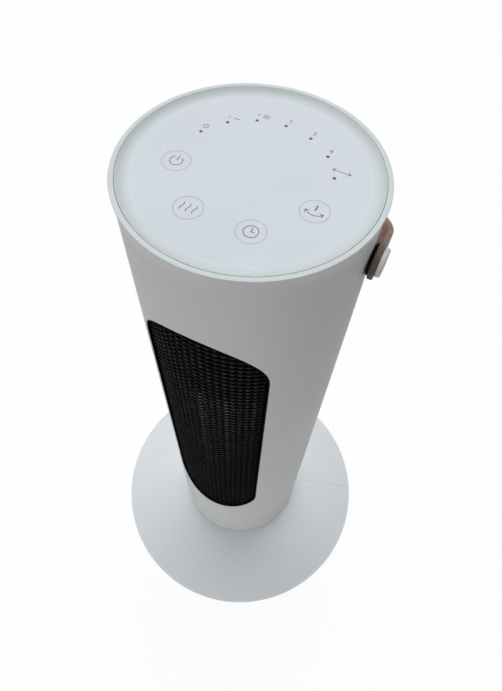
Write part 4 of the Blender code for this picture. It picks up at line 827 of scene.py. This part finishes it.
def set_screws(kind, count, body, head_height, head_down=True):
    """Copies one screw to the places of its nodes."""
    low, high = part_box(kind + "_1")
    pattern = screw(high.z - low.z, head_height)
    for number in range(1, count + 1):
        node = kind + "_" + str(number)
        low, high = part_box(node)
        made = put(copy_of(pattern),
                   ((low.x + high.x) / 2, (low.y + high.y) / 2, low.z if head_down else high.z),
                   (0 if head_down else math.pi, 0, SCREW_TURN * number))
        dress(made, "zinc_" + node, body, zinc)
        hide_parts(node)
    discard(pattern)


set_screws("base_screw", 4, "base", SCREW_HEAD_HEIGHT)
set_screws("shell_screw", 4, "tower", SCREW_HEAD_HEIGHT)
set_screws("motor_screw", 2, "tower", MOTOR_SCREW_HEAD_HEIGHT, False)

# %% [markdown]
# ## The tower's shells
# The tower is two plastic shells. Each is a tall thin rectangle, spun round the axis by its share of
# a turn. The outlet in front has straight sides and round ends, seen square on, so it is cut with an
# upright shape of that outline: a circle whose halves are drawn apart. The cut's outer edge is then
# rounded with a bevel, because a sharp edge on a moulding never looks real.

# %% Shell walls
shell_low, shell_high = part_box("front_shell")
TOWER_RADIUS = 74.0 * MM
TOWER_WALL = 2.5 * MM
SEAM_ANGLE = math.radians(106)
SHELL_SEAM = 0.4 * MM
SHELL_BOTTOM = shell_low.z - 0.5 * MM
SHELL_TOP = shell_high.z
print("gap under the tower:", round((SHELL_BOTTOM - FOOT_TOP) / MM, 2), "mm")


def curved_wall(radius, wall, bottom, top, middle, half_angle, steps):
    """An upright wall round the axis, spun to both sides of its middle direction."""
    level = (bottom + top) / 2
    return spun(wall, top - bottom, radius - wall / 2, level, middle - half_angle, 2 * half_angle, steps)


def shell_wall(middle, angle, steps):
    """One of the tower's two shells, which leaves its share of the seams open."""
    half_angle = angle - SHELL_SEAM / TOWER_RADIUS / 2
    return curved_wall(TOWER_RADIUS, TOWER_WALL, SHELL_BOTTOM, SHELL_TOP, middle, half_angle, steps)


def oblong(radius, points, spot, turn, stretch, depth, beyond=-NEAR):
    """A block with straight sides and round ends: a circle drawn apart by `stretch` and given depth."""
    bpy.ops.mesh.primitive_circle_add(vertices=points, radius=radius, fill_type="NGON")
    block = put(bpy.context.object, spot, turn)
    open_piece(block, "VERT")
    way = Vector(stretch).normalized()
    pick_points(block, lambda point: way.dot(point) > way.dot(Vector(spot)) + beyond)
    bpy.ops.transform.translate(value=stretch)
    pick_all()
    draw_out(*depth)
    close_piece()
    clean(block)
    return block


# %% Front shell
ON_OUTLINE = 0.05 * MM
OUTLET_ROUND = 0.4 * MM


def outlet_block(grow):
    """A block with the outlet's outline that reaches from the axis out through the front."""
    stretch = OUTLET_TOP - OUTLET_BOTTOM - 2 * OUTLET_HALF_WIDTH
    return oblong(OUTLET_HALF_WIDTH + grow, 96, (0, 0, LOWER_ARCH_MIDDLE), (QUARTER_TURN, 0, 0),
                  (0, 0, stretch), (0, -2 * TOWER_RADIUS, 0))


def on_outlet(point):
    """True for a point on the outlet's outline, on the shell's outer side."""
    straight = max(LOWER_ARCH_MIDDLE, min(point.z, ARCH_MIDDLE))
    away = math.hypot(point.x, point.z - straight)
    outer = math.hypot(point.x, point.y) > TOWER_RADIUS - TOWER_WALL / 2
    return point.y < 0 and outer and abs(away - OUTLET_HALF_WIDTH) < ON_OUTLINE


front = shell_wall(-QUARTER_TURN, SEAM_ANGLE, 106)
cut_with(front, outlet_block(0))
open_piece(front, "EDGE")
outlet_edges = pick_edges(front, lambda a, b: on_outlet(a) and on_outlet(b))
bpy.ops.mesh.bevel(offset=OUTLET_ROUND, segments=3, clamp_overlap=False)
close_piece()
print("outlet edges rounded:", outlet_edges)
dress(front, "tower_front", "tower", white_plastic)
modify(front, "WEIGHTED_NORMAL", keep_sharp=True)
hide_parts("front_shell")

# %% [markdown]
# ## The intake behind
# Air comes in through three rows of upright slots. One slot is made the way the outlet was, a circle
# drawn apart and given depth, then it is copied round the shell and cut out of it all at once.

# %% Rear shell
SLOT_COLUMNS = 11
SLOT_ROWS = 3
SLOT_PITCH = math.radians(7.0)
SLOT_WIDTH = 4.2 * MM
SLOT_BOTTOM = 190.0 * MM
SLOT_TOP = 410.0 * MM
SLOT_ROW_BAR = 8.0 * MM
SLOT_ROUND = 0.3 * MM
ON_SLOT = 0.06 * MM
FIRST_COLUMN = -(SLOT_COLUMNS - 1) / 2
row_height = (SLOT_TOP - SLOT_BOTTOM - SLOT_ROW_BAR * (SLOT_ROWS - 1)) / SLOT_ROWS
row_pitch = row_height + SLOT_ROW_BAR

slot = oblong(SLOT_WIDTH / 2, 16, (TOWER_RADIUS - 4 * TOWER_WALL, 0, SLOT_WIDTH / 2), (0, QUARTER_TURN, 0),
              (0, 0, row_height - SLOT_WIDTH), (8 * TOWER_WALL, 0, 0), NEAR)
slots = []
for column in range(SLOT_COLUMNS):
    for row in range(SLOT_ROWS):
        turn = QUARTER_TURN + (column + FIRST_COLUMN) * SLOT_PITCH
        slots.append(put(copy_of(slot), (0, 0, SLOT_BOTTOM + row * row_pitch), (0, 0, turn)))
discard(slot)
rear = shell_wall(QUARTER_TURN, math.pi - SEAM_ANGLE, 74)
cut_with(rear, fuse(slots))


def on_slot(point):
    """True for a point on the outline of a slot, on the shell's outer side."""
    radius = math.hypot(point.x, point.y)
    if radius < TOWER_RADIUS - TOWER_WALL / 2:
        return False
    turn = math.atan2(-point.x, point.y)
    column = round(turn / SLOT_PITCH - FIRST_COLUMN) + FIRST_COLUMN
    aside = radius * math.sin(turn - column * SLOT_PITCH)
    row = min(SLOT_ROWS - 1, max(0, int((point.z - SLOT_BOTTOM + SLOT_ROW_BAR / 2) / row_pitch)))
    low = SLOT_BOTTOM + row * row_pitch + SLOT_WIDTH / 2
    straight = max(low, min(point.z, low + row_height - SLOT_WIDTH))
    return abs(math.hypot(aside, point.z - straight) - SLOT_WIDTH / 2) < ON_SLOT


open_piece(rear, "EDGE")
slot_edges = pick_edges(rear, lambda a, b: on_slot(a) and on_slot(b))
bpy.ops.mesh.bevel(offset=SLOT_ROUND, segments=2, clamp_overlap=True)
close_piece()
print("slot edges rounded:", slot_edges)
dress(rear, "tower_rear", "tower", white_plastic)
modify(rear, "WEIGHTED_NORMAL", keep_sharp=True)
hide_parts("rear_shell")

# %% [markdown]
# ## The rim and the panel
# The rim is a ring with a crisp outer edge that stands a little proud of the shells. Its top is smoother,
# and painted a darker, bluer copy of the side's white: painted shade and a painted bluish reflection of
# the light from above, so its tone changes with the height. Inside it lies the touch panel: a flat glossy
# disc in a shallow cove that climbs to the rim, with a fine gap between the two. The cove is the same
# moulding, but the printed sheet ends there, so its tone changes with the radius. It also carries a
# painted highlight where it meets the flat, and painted shade that deepens towards its lip.

# %% Rim
rim_low, rim_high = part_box("top_rim")
RIM_TOP = rim_high.z
RIM_RADIUS = rim_high.x
RIM_INNER_RADIUS = 72.0 * MM
RIM_EDGE = 0.1 * MM
RIM_SLOPE_TOP = RIM_TOP - 1.6 * MM
RIM_SLOPE_BOTTOM = RIM_TOP - 4.0 * MM
RIM_SIDE_BOTTOM = SHELL_TOP + 0.08 * MM
RIM_SIDE_RADIUS = TOWER_RADIUS + 0.12 * MM
RIM_SHELF_RADIUS = 64.0 * MM
RIM_SHELF_TOP = RIM_TOP - 8.0 * MM
RIM_SHELF_BOTTOM = RIM_SHELF_TOP - 2.5 * MM
SPIGOT_RADIUS = 71.05 * MM
SPIGOT_INNER_RADIUS = SPIGOT_RADIUS - 2 * MM
OUTER_ROUND = 0.5 * MM
INNER_ROUND = 0.3 * MM
POLISH_AND_SHADE_START = RIM_TOP - 0.9 * MM
POLISH_AND_SHADE_END = RIM_TOP - 0.35 * MM

rim_profile = [(RIM_INNER_RADIUS, RIM_SHELF_TOP)]
rim_profile += arc((RIM_INNER_RADIUS + INNER_ROUND, RIM_TOP - INNER_ROUND), INNER_ROUND, 180, 90, 5)
rim_profile += arc((RIM_RADIUS - OUTER_ROUND, RIM_TOP - OUTER_ROUND), OUTER_ROUND, 90, 0, 6)
rim_profile += [(RIM_RADIUS - RIM_EDGE, RIM_SLOPE_TOP), (RIM_SIDE_RADIUS, RIM_SLOPE_BOTTOM),
                (RIM_SIDE_RADIUS, RIM_SIDE_BOTTOM + RIM_EDGE), (RIM_SIDE_RADIUS - RIM_EDGE, RIM_SIDE_BOTTOM),
                (SPIGOT_RADIUS, RIM_SIDE_BOTTOM), (SPIGOT_RADIUS, rim_low.z),
                (SPIGOT_INNER_RADIUS, rim_low.z), (SPIGOT_INNER_RADIUS, RIM_SHELF_BOTTOM),
                (RIM_SHELF_RADIUS, RIM_SHELF_BOTTOM), (RIM_SHELF_RADIUS, RIM_SHELF_TOP),
                (RIM_INNER_RADIUS, RIM_SHELF_TOP)]
rim = turned(rim_profile, ROUND_STEPS)


def rim_finish():
    """White plastic whose top is smoother, and painted darker and bluer than its side: painted shade and a
    painted bluish reflection.
    """
    finish, shader, wire = new_finish("rim_plastic")
    upper = place_along(wire, 2).ramp(POLISH_AND_SHADE_START, POLISH_AND_SHADE_END)
    cloud = noise(wire, CLOUD_SIZE, 3.0).ramp(0.3, 0.7)
    side = cloud.blend((0.7, 0.707, 0.7), (0.72, 0.728, 0.72))
    # The top's darker, bluer colour is painted shade and a painted bluish reflection of the light from
    # above.
    top = cloud.blend((0.6, 0.65, 0.665), (0.625, 0.675, 0.69))
    paint(shader, upper.blend(side, top), 0.46 - upper * 0.12, noise(wire, FINE_GRAIN, 1.0), 0.01 * MM)
    shader.inputs["Specular IOR Level"].default_value = 0.3
    return finish


dress(rim, "rim", "tower", rim_finish())
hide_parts("top_rim")

# %% Panel
PANEL_FLAT_TOP = RIM_TOP - 2.6 * MM
PANEL_FLAT_RADIUS = 64.7 * MM
PANEL_RINGS = (0, 30 * MM, 50 * MM)
PANEL_LIP_TOP = RIM_TOP - 0.05 * MM
PANEL_LIP_WIDTH = 0.3 * MM
PANEL_LIP_ROUND = 0.2 * MM
PANEL_RADIUS = 71.8 * MM
PANEL_SHEET = 2.0 * MM
PANEL_SHEET_RADIUS = PANEL_RADIUS - PANEL_SHEET
COVE_CURVE = 2.3
COVE_STEPS = 16
panel_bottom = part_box("touch_panel")[0].z

panel_profile = [(radius, PANEL_FLAT_TOP) for radius in PANEL_RINGS]
cove_width = PANEL_RADIUS - PANEL_LIP_WIDTH - PANEL_FLAT_RADIUS
for step in range(COVE_STEPS + 1):
    share = step / COVE_STEPS
    panel_profile.append((PANEL_FLAT_RADIUS + cove_width * share,
                          PANEL_FLAT_TOP + (PANEL_LIP_TOP - PANEL_FLAT_TOP) * share ** COVE_CURVE))
panel_profile += arc((PANEL_RADIUS - PANEL_LIP_ROUND, PANEL_LIP_TOP - PANEL_LIP_ROUND),
                     PANEL_LIP_ROUND, 90, 0, 4)
panel_profile += [(PANEL_RADIUS, panel_bottom), (PANEL_SHEET_RADIUS, panel_bottom),
                  (PANEL_SHEET_RADIUS, PANEL_FLAT_TOP - PANEL_SHEET), (0, PANEL_FLAT_TOP - PANEL_SHEET)]
panel = turned(panel_profile, ROUND_STEPS)
dress(panel, "panel", "tower", panel_gloss)
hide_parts("touch_panel")

# %% [markdown]
# ## The printed marks
# Four thin rings show where a finger goes, each with a sign in it: power, heat, time and swing. Seven
# tiny lamp windows stand behind them in an arc, each with a small sign or number. On the real panel they
# are printed. Here they are strokes a few hundredths of a millimetre proud, so that they stay sharp
# from close by: a bar is a block whose upright edges are rounded off, and a bow is a small upright
# rectangle spun round its centre.

# %% Strokes
INK_RISE = 0.03 * MM
INK_DEPTH = 0.08 * MM
INK_LEVEL = PANEL_FLAT_TOP + INK_RISE - INK_DEPTH / 2
PEN = 0.5 * MM
RING_PEN = 0.36 * MM
HAND_PEN = 0.9 * MM
PRINT_SHIFT = 0.5


def bar(centre, start, end, pen=PEN):
    """A stroke with round ends between two points, given in millimetres from a centre."""
    start, end = Vector(start) * MM, Vector(end) * MM
    along = end - start
    piece = cube((along.length + pen, pen, INK_DEPTH))
    open_piece(piece, "EDGE")
    pick_edges(piece, lambda a, b: abs(a.z - b.z) > INK_DEPTH / 2)
    bpy.ops.mesh.bevel(offset=pen * 0.45, segments=3)
    close_piece()
    middle = Vector(centre) * MM + (start + end) / 2
    return put(piece, (middle.x, middle.y, INK_LEVEL), (0, 0, math.atan2(along.y, along.x)))


def bow(centre, radius, start, end, pen=PEN):
    """A curved stroke round a centre, from one angle in degrees to another. Sizes are in millimetres."""
    steps = max(6, round((end - start) / 7))
    piece = spun(pen, INK_DEPTH, radius * MM, 0, math.radians(start), math.radians(end - start), steps)
    return put(piece, (centre[0] * MM, centre[1] * MM, INK_LEVEL))


def around(angle, radius):
    """A point on the panel, in millimetres. The print sits a little to the right of the axis."""
    return PRINT_SHIFT + radius * math.cos(math.radians(angle)), radius * math.sin(math.radians(angle))


# %% Rings and their signs
RING_RADIUS = 7.9
RING_CIRCLE_RADIUS = 41.7
RING_PLACES = [around(angle, RING_CIRCLE_RADIUS) for angle in (194.6, 245.3, 295.3, 345.6)]
POWER_RING, HEAT_RING, TIME_RING, SWING_RING = RING_PLACES

rings = [bow(centre, RING_RADIUS, 0, 360, RING_PEN) for centre in RING_PLACES]
dress(fuse(rings), "touch_rings", "tower", ring_ink)


def power_sign(centre, size, pen=PEN):
    return [bow(centre, size, 125, 415, pen), bar(centre, (0, size * 0.15), (0, size * 1.2), pen)]


def heat_wave(centre, across, size, pen=PEN):
    """A rising line of heat: two bows, one to each side."""
    x, y = centre
    lower = bow((x + across + size * 0.58, y - size * 0.5), size * 0.75, 140, 220, pen)
    upper = bow((x + across - size * 0.58, y + size * 0.5), size * 0.75, -40, 40, pen)
    return [lower, upper]


signs = power_sign(POWER_RING, 3.5)
for across in (-3.6, 0, 3.6):
    signs += heat_wave(HEAT_RING, across, 2.9)
signs += [bow(TIME_RING, 3.9, 0, 360), bar(TIME_RING, (0, 0), (0, 2.6)), bar(TIME_RING, (0, 0), (1.8, 0))]
swing_middle = (SWING_RING[0], SWING_RING[1] + 3.2)
signs.append(bow(swing_middle, 6.2, 218, 322))
for side in (-1, 1):
    tip = (side * 4.9, -3.8)
    signs += [bar(swing_middle, tip, (side * 2.9, -3.7)), bar(swing_middle, tip, (side * 4.7, -5.8))]
signs.append(bar(SWING_RING, (0, 0.8), (0, 4.0), HAND_PEN))
dress(fuse(signs), "touch_signs", "tower", sign_ink)

# %% Lamp windows and their signs
LAMP_CIRCLE_RADIUS = 43.7
LAMP_FIRST_ANGLE = 157.5
LAMP_STEP = 22.5
LAMPS = [around(LAMP_FIRST_ANGLE - LAMP_STEP * step, LAMP_CIRCLE_RADIUS) for step in range(7)]
LAMP_RADIUS = 1.0 * MM
INK_BOTTOM = INK_RISE - INK_DEPTH
LAMP_PROFILE = [(0, INK_RISE), (LAMP_RADIUS * 0.9, INK_RISE), (LAMP_RADIUS, INK_RISE * 0.4),
                (LAMP_RADIUS, INK_BOTTOM), (0, INK_BOTTOM)]
SMALL_PEN = 0.4 * MM
LOW_HEAT_PEN = 0.55 * MM
HIGH_HEAT_PEN = 0.45 * MM
NUMBER_SIZE = 4.4 * MM


def beside_lamp(number, across, up):
    """A sign's place, by its steps across and up from the middle of its lamp window."""
    return LAMPS[number][0] + across, LAMPS[number][1] + up


POWER_LAMP_SIGN = beside_lamp(0, 0.2, 5.6)
LOW_HEAT_SIGN = beside_lamp(1, 1.4, 5.2)
HIGH_HEAT_SIGN = beside_lamp(2, 1.4, 5.4)
HOUR_SIGNS = {"1": beside_lamp(3, 0.9, 4.9), "2": beside_lamp(4, 0.6, 4.8), "4": beside_lamp(5, 0.1, 4.7)}
SWING_LAMP_SIGN = beside_lamp(6, 1.8, 6.2)

windows = [put(turned(LAMP_PROFILE, 20), (x * MM, y * MM, PANEL_FLAT_TOP)) for x, y in LAMPS]
dress(fuse(windows), "lamp_windows", "tower", lamp_window)


def number(figure, centre):
    """A plain number, as a raised mesh whose middle is at a point in millimetres."""
    bpy.ops.object.text_add()
    piece = bpy.context.object
    piece.data.body = figure
    piece.data.size = NUMBER_SIZE
    piece.data.extrude = INK_DEPTH / 2
    piece.data.align_x = "CENTER"
    piece.data.align_y = "CENTER"
    only(piece)
    bpy.ops.object.convert(target="MESH")
    put(piece, (centre[0] * MM, centre[1] * MM, INK_LEVEL))
    clean(piece)
    return piece


small = power_sign(POWER_LAMP_SIGN, 1.5, SMALL_PEN)
small += heat_wave(LOW_HEAT_SIGN, -2.6, 1.3, SMALL_PEN)
small.append(bar(LOW_HEAT_SIGN, (0.4, 0), (3.6, 0), LOW_HEAT_PEN))
small += heat_wave(HIGH_HEAT_SIGN, -2.6, 1.3, SMALL_PEN)
small += [bar(HIGH_HEAT_SIGN, (0.4, rise), (3.6, rise), HIGH_HEAT_PEN) for rise in (-1.2, 0, 1.2)]
small += [number(figure, middle) for figure, middle in HOUR_SIGNS.items()]
small.append(bar(SWING_LAMP_SIGN, (-5.2, 0), (5.2, 0), SMALL_PEN))
for side in (-1, 1):
    small += [bar(SWING_LAMP_SIGN, (side * 5.2, 0), (side * 3.6, rise), SMALL_PEN) for rise in (-1.3, 1.3)]
dress(fuse(small), "lamp_signs", "tower", sign_ink)

# %% [markdown]
# ## The mesh in the outlet
# Fine upright ribs carry short slats that bow outwards between them, so that from above the mesh looks
# scalloped, and no finger gets through. One slat is shaped from a small block: it is divided along its
# length, its middle is drawn forward, and it is copied up each column with an array. The columns' ends
# follow the outlet's outline, and a frame of the same outline holds them behind the shell. A thin black
# liner of the frame covers the cut edge of the white shell, so that the outlet looks crisp.

# %% Mesh slats and ribs
MESH_RADIUS = 71.3 * MM
MESH_DEPTH = 1.8 * MM
MESH_FRONT = -MESH_RADIUS + MESH_DEPTH / 2
MESH_COLUMNS = 18
SLAT_PITCH = 5.14 * MM
SLAT_HEIGHT = 1.5 * MM
SLAT_DEPTH_SHARE = 0.7
SLAT_BOW = 1.1 * MM
SLAT_BOW_SHARES = ((0.3, 0.4), (0.02, 0.6))
SLAT_ROUND = 0.35 * MM
SLAT_LAP = 1.5 * MM
RIB_WIDTH = 1.1 * MM
RIB_SETBACK = 0.5 * MM
RIB_ROUND = 0.3 * MM
FRAME_LAP = 4.0 * MM


def outlet_reach(angle, grow):
    """The outlet's bottom and top in the direction of a column of the mesh."""
    radius = OUTLET_HALF_WIDTH + grow
    rise = math.sqrt(max(0, radius ** 2 - (MESH_RADIUS * math.sin(angle)) ** 2))
    return LOWER_ARCH_MIDDLE - rise, ARCH_MIDDLE + rise


def slat_piece():
    """One slat at height 0 in front of the axis, bowed outwards in its middle."""
    width = 2 * MESH_RADIUS * math.tan(MESH_PITCH / 2)
    piece = cube((width, MESH_DEPTH * SLAT_DEPTH_SHARE, SLAT_HEIGHT), (0, MESH_FRONT, 0))
    open_piece(piece, "EDGE")
    pick_edges(piece, lambda a, b: abs(a.x - b.x) > width / 2)
    bpy.ops.mesh.subdivide(number_cuts=3)
    for share, reach in SLAT_BOW_SHARES:
        pick_none("VERT")
        pick_points(piece, lambda point: abs(point.x) < width * share)
        bpy.ops.transform.translate(value=(0, -SLAT_BOW * reach, 0))
    pick_none("EDGE")
    pick_edges(piece, lambda a, b: max(a.y, b.y) < MESH_FRONT and abs(a.z - b.z) < NEAR)
    bpy.ops.mesh.bevel(offset=SLAT_ROUND, segments=1)
    pick_none("FACE")
    pick_faces(piece, lambda middle, normal: abs(middle.x) > width / 2 - NEAR)
    bpy.ops.mesh.delete(type="ONLY_FACE")
    close_piece()
    return piece


slat = slat_piece()
print("slat faces:", len(slat.data.polygons))
columns = []
for column in range(MESH_COLUMNS):
    angle = (column - (MESH_COLUMNS - 1) / 2) * MESH_PITCH
    low, high = outlet_reach(angle, SLAT_LAP)
    first = math.ceil((low - OUTLET_BOTTOM) / SLAT_PITCH)
    last = math.floor((high - OUTLET_BOTTOM) / SLAT_PITCH)
    made = copy_of(slat)
    repeat_up(made, last - first + 1, SLAT_PITCH)
    columns.append(put(made, (0, 0, OUTLET_BOTTOM + first * SLAT_PITCH), (0, 0, angle)))
discard(slat)
for rib in range(MESH_COLUMNS + 1):
    angle = (rib - MESH_COLUMNS / 2) * MESH_PITCH
    low, high = outlet_reach(angle, FRAME_LAP / 2)
    behind = -MESH_RADIUS + MESH_DEPTH + RIB_SETBACK
    made = cube((RIB_WIDTH, MESH_DEPTH, high - low), (0, behind, (low + high) / 2))
    open_piece(made, "EDGE")
    pick_edges(made, lambda a, b: abs(a.z - b.z) > MM)
    bpy.ops.mesh.bevel(offset=RIB_ROUND, segments=2)
    close_piece()
    columns.append(put(made, turn=(0, 0, angle)))

# %% Mesh frame
BORDER_HALF_ANGLE = math.radians(46)
BORDER_INNER_LAP = 0.8 * MM
LINER_SETBACK = 0.35 * MM
LINER_DEPTH = 3.6 * MM
LINER_GAP = 0.05 * MM
LINER_WALL = 0.7 * MM


def outlet_ring(radius, wall, reach, steps, outer, inner):
    """A curved wall between two outlines of the outlet, which are grown by `outer` and `inner`."""
    ring = curved_wall(radius, wall, OUTLET_BOTTOM - reach, OUTLET_TOP + reach, -QUARTER_TURN,
                       BORDER_HALF_ANGLE, steps)
    cut_with(ring, outlet_block(outer), "INTERSECT")
    cut_with(ring, outlet_block(inner))
    return ring


border = outlet_ring(MESH_RADIUS, MESH_DEPTH, 2 * FRAME_LAP, 46, FRAME_LAP, -BORDER_INNER_LAP)
liner = outlet_ring(TOWER_RADIUS - LINER_SETBACK, LINER_DEPTH, FRAME_LAP, 92, -LINER_GAP,
                    -LINER_GAP - LINER_WALL)
mesh_grille = fuse([border, liner] + columns)
dress(mesh_grille, "outlet_mesh", "tower", mesh_plastic, 50)
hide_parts("front_grille")

# %% [markdown]
# ## The fins of the heating element
# Behind the mesh the element's fins can just be seen. They are corrugated strips of thin aluminium, whose
# finish is painted dark as painted shade of the tower's inside. One fold is drawn out edge by edge from a
# narrow plane, repeated up the strip with an array whose ends are merged, and the sheet gets its thickness
# from Solidify.

# %% Fins
FOLD_LAND = 0.5 * MM
FOLD_RISE = 0.9 * MM
FIN_SHEET = 0.16 * MM


def fin_strip(name, node):
    low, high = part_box(node)
    width = high.x - low.x - FIN_SHEET
    bottom = low.z + FIN_SHEET
    top = bottom + FOLD_LAND
    strip = plane((FOLD_LAND, high.y - low.y, 1),
                  (low.x + FIN_SHEET / 2, (low.y + high.y) / 2, (bottom + top) / 2), (0, QUARTER_TURN, 0))
    open_piece(strip, "EDGE")
    pick_edges(strip, lambda a, b: abs(a.z - top) < NEAR and abs(b.z - top) < NEAR)
    for step in ((width, 0, FOLD_RISE), (0, 0, FOLD_LAND), (-width, 0, FOLD_RISE)):
        bpy.ops.mesh.extrude_edges_move(TRANSFORM_OT_translate={"value": step})
    close_piece()
    pitch = 2 * (FOLD_LAND + FOLD_RISE)
    folds = int((high.z - low.z - 2 * FIN_SHEET) / pitch)
    repeat_up(strip, folds, pitch, use_merge_vertices=True)
    modify(strip, "SOLIDIFY", thickness=FIN_SHEET, offset=0)
    clean(strip)
    dress(strip, name, "tower", dull_fins, 20)
    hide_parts(node)


for side in ("left", "middle", "right"):
    fin_strip("fins_" + side, "fin_strip_" + side)

# %% [markdown]
# ## The strap and its buttons
# The strap is a band of thick leather that hangs from two round buttons and loops round the back. Its
# section is drawn once, extruded along the straight ends and spun round the bend. Cutting it with a
# block that has a round nose gives both ends their shape. Its edges are rounded, and its inner side is
# the leather's paler back, painted paler still as painted light against the shade it lies in.

# %% Strap
STUD_HEIGHT = 544.3 * MM
SHANK_RADIUS = 4.0 * MM
STRAP_THICKNESS = 3.3 * MM
STRAP_WIDTH = 22.0 * MM
STRAP_LEG = 21.5 * MM
STRAP_DROOP = math.radians(30.5)
STRAP_ROUND = 0.8 * MM
STRAP_HOLE_RADIUS = SHANK_RADIUS + 0.4 * MM
SHARP_ANGLE = math.radians(50)
strap_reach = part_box("handle_strap")[1].x
path_radius = strap_reach - STRAP_THICKNESS / 2
overlong = STRAP_WIDTH + STRAP_LEG

strap = plane((STRAP_THICKNESS, STRAP_WIDTH, 1), (path_radius, -STRAP_WIDTH, 0), (QUARTER_TURN, 0, 0))
open_piece(strap)
pick_all()
draw_out(0, overlong, 0)
bpy.ops.mesh.spin(steps=48, angle=-math.pi, center=(0, STRAP_LEG, 0), axis=(0, 0, 1))
draw_out(0, -overlong, 0)
close_piece()
clean(strap)

# %% Strap ends, hole and edges
nose = oblong(STRAP_WIDTH / 2, 64, (-2 * path_radius, 0, 0), (0, QUARTER_TURN, 0), (0, 2 * path_radius, 0),
              (4 * path_radius, 0, 0))
cut_with(strap, nose, "INTERSECT")
bpy.ops.mesh.primitive_cylinder_add(vertices=48, radius=STRAP_HOLE_RADIUS, depth=4 * path_radius,
                                    rotation=(0, QUARTER_TURN, 0))
cut_with(strap, bpy.context.object)
modify(strap, "BEVEL", width=STRAP_ROUND, segments=3, limit_method="ANGLE", angle_limit=SHARP_ANGLE)


def faces_inwards(middle, normal):
    """True for a face on the strap's inner side, which looks across the loop."""
    outwards = Vector((middle.x, max(0, middle.y - STRAP_LEG), 0)).normalized()
    return normal.dot(outwards) < -0.8


back_faces = [face.index for face in strap.data.polygons if faces_inwards(face.center, face.normal)]
put(strap, (0, 0, STUD_HEIGHT), (-STRAP_DROOP, 0, 0))
dress(strap, "strap", "handle", strap_leather, 40)
strap.data.materials.append(strap_back)
for index in back_faces:
    strap.data.polygons[index].material_index = 1
print("faces on the strap's back:", len(back_faces))
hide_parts("handle_strap")

# %% Buttons
STUD_HEAD_RADIUS = 8.5 * MM
STUD_HEAD_HEIGHT = 2.9 * MM
STUD_FACE_RADIUS = 5.0 * MM
STUD_FACE_ROUND = 1.1 * MM
STUD_BACK_ROUND = 0.4 * MM
STUD_FOOT = TOWER_RADIUS - 8.0 * MM
STRAP_PLAY = 0.3 * MM
STUD_SEAT = strap_reach + STRAP_PLAY - STUD_FOOT
STUD_FACE = STUD_SEAT + STUD_HEAD_HEIGHT
# The washers are real, and black. They are made wide enough to show round the buttons where the strap's
# shadow falls on the tower, so they also stand as a painted shadow.
WASHER_RADIUS = 9.3 * MM
WASHER_BORE = SHANK_RADIUS + 0.1 * MM
WASHER_THICKNESS = 1.5 * MM
WASHER_ROUND = 0.15 * MM
WASHER_FOOT = TOWER_RADIUS + 0.2 * MM


def at_stud(name, side, node, profile, steps, foot, finish, slot):
    """Turns a piece and lays it along the X axis, at the strap's height on one side of the tower."""
    piece = put(turned(profile, steps), (side * foot, 0, STUD_HEIGHT), (0, side * QUARTER_TURN, 0))
    dress(piece, name, "tower", finish)
    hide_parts(node)


face_round = (STUD_HEAD_RADIUS - STUD_FACE_ROUND, STUD_FACE - STUD_FACE_ROUND)
back_round = (STUD_HEAD_RADIUS - STUD_BACK_ROUND, STUD_SEAT + STUD_BACK_ROUND)
button_profile = [(0, STUD_FACE), (STUD_FACE_RADIUS, STUD_FACE)]
button_profile += arc(face_round, STUD_FACE_ROUND, 85, 0, 5) + arc(back_round, STUD_BACK_ROUND, 0, -90, 3)
button_profile += [(SHANK_RADIUS, STUD_SEAT), (SHANK_RADIUS, 0), (0, 0)]
washer_profile = [(WASHER_BORE, 0), (WASHER_RADIUS - WASHER_ROUND, 0), (WASHER_RADIUS, WASHER_ROUND),
                  (WASHER_RADIUS, WASHER_THICKNESS), (WASHER_BORE, WASHER_THICKNESS), (WASHER_BORE, 0)]
button = (button_profile, 64, STUD_FOOT, white_plastic, "white_plastic")
washer = (washer_profile, 48, WASHER_FOOT, inner_plastic, "black_plastic")
at_stud("button_right", 1, "strap_stud_right", *button)
at_stud("button_left", -1, "strap_stud_left", *button)
at_stud("washer_right", 1, "stud_washer_right", *washer)
at_stud("washer_left", -1, "stud_washer_left", *washer)

# %% [markdown]
# ## Finishes for the solids that stay
# What isn't modelled again here keeps its solid from the engineering model, mostly inside the tower and
# below the foot, and gets the finish of what it is made of.

# %% Finishes by material slot
slot_finish = {"white_plastic": white_plastic, "panel_gloss": panel_gloss, "black_plastic": inner_plastic,
               "grey_plastic": grey_plastic, "nylon": nylon, "rubber": rubber, "steel": steel,
               "aluminium": aluminium, "heat_plastic": heat_resin, "circuit_board": board_green,
               "leather": strap_leather}
kept = 0
for name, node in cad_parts.items():
    for place_of_finish in node.material_slots:
        own = place_of_finish.material.name.split(".")[0]
        place_of_finish.material = slot_finish[own]
    kept += not node.hide_render
print("solids that show:", kept)
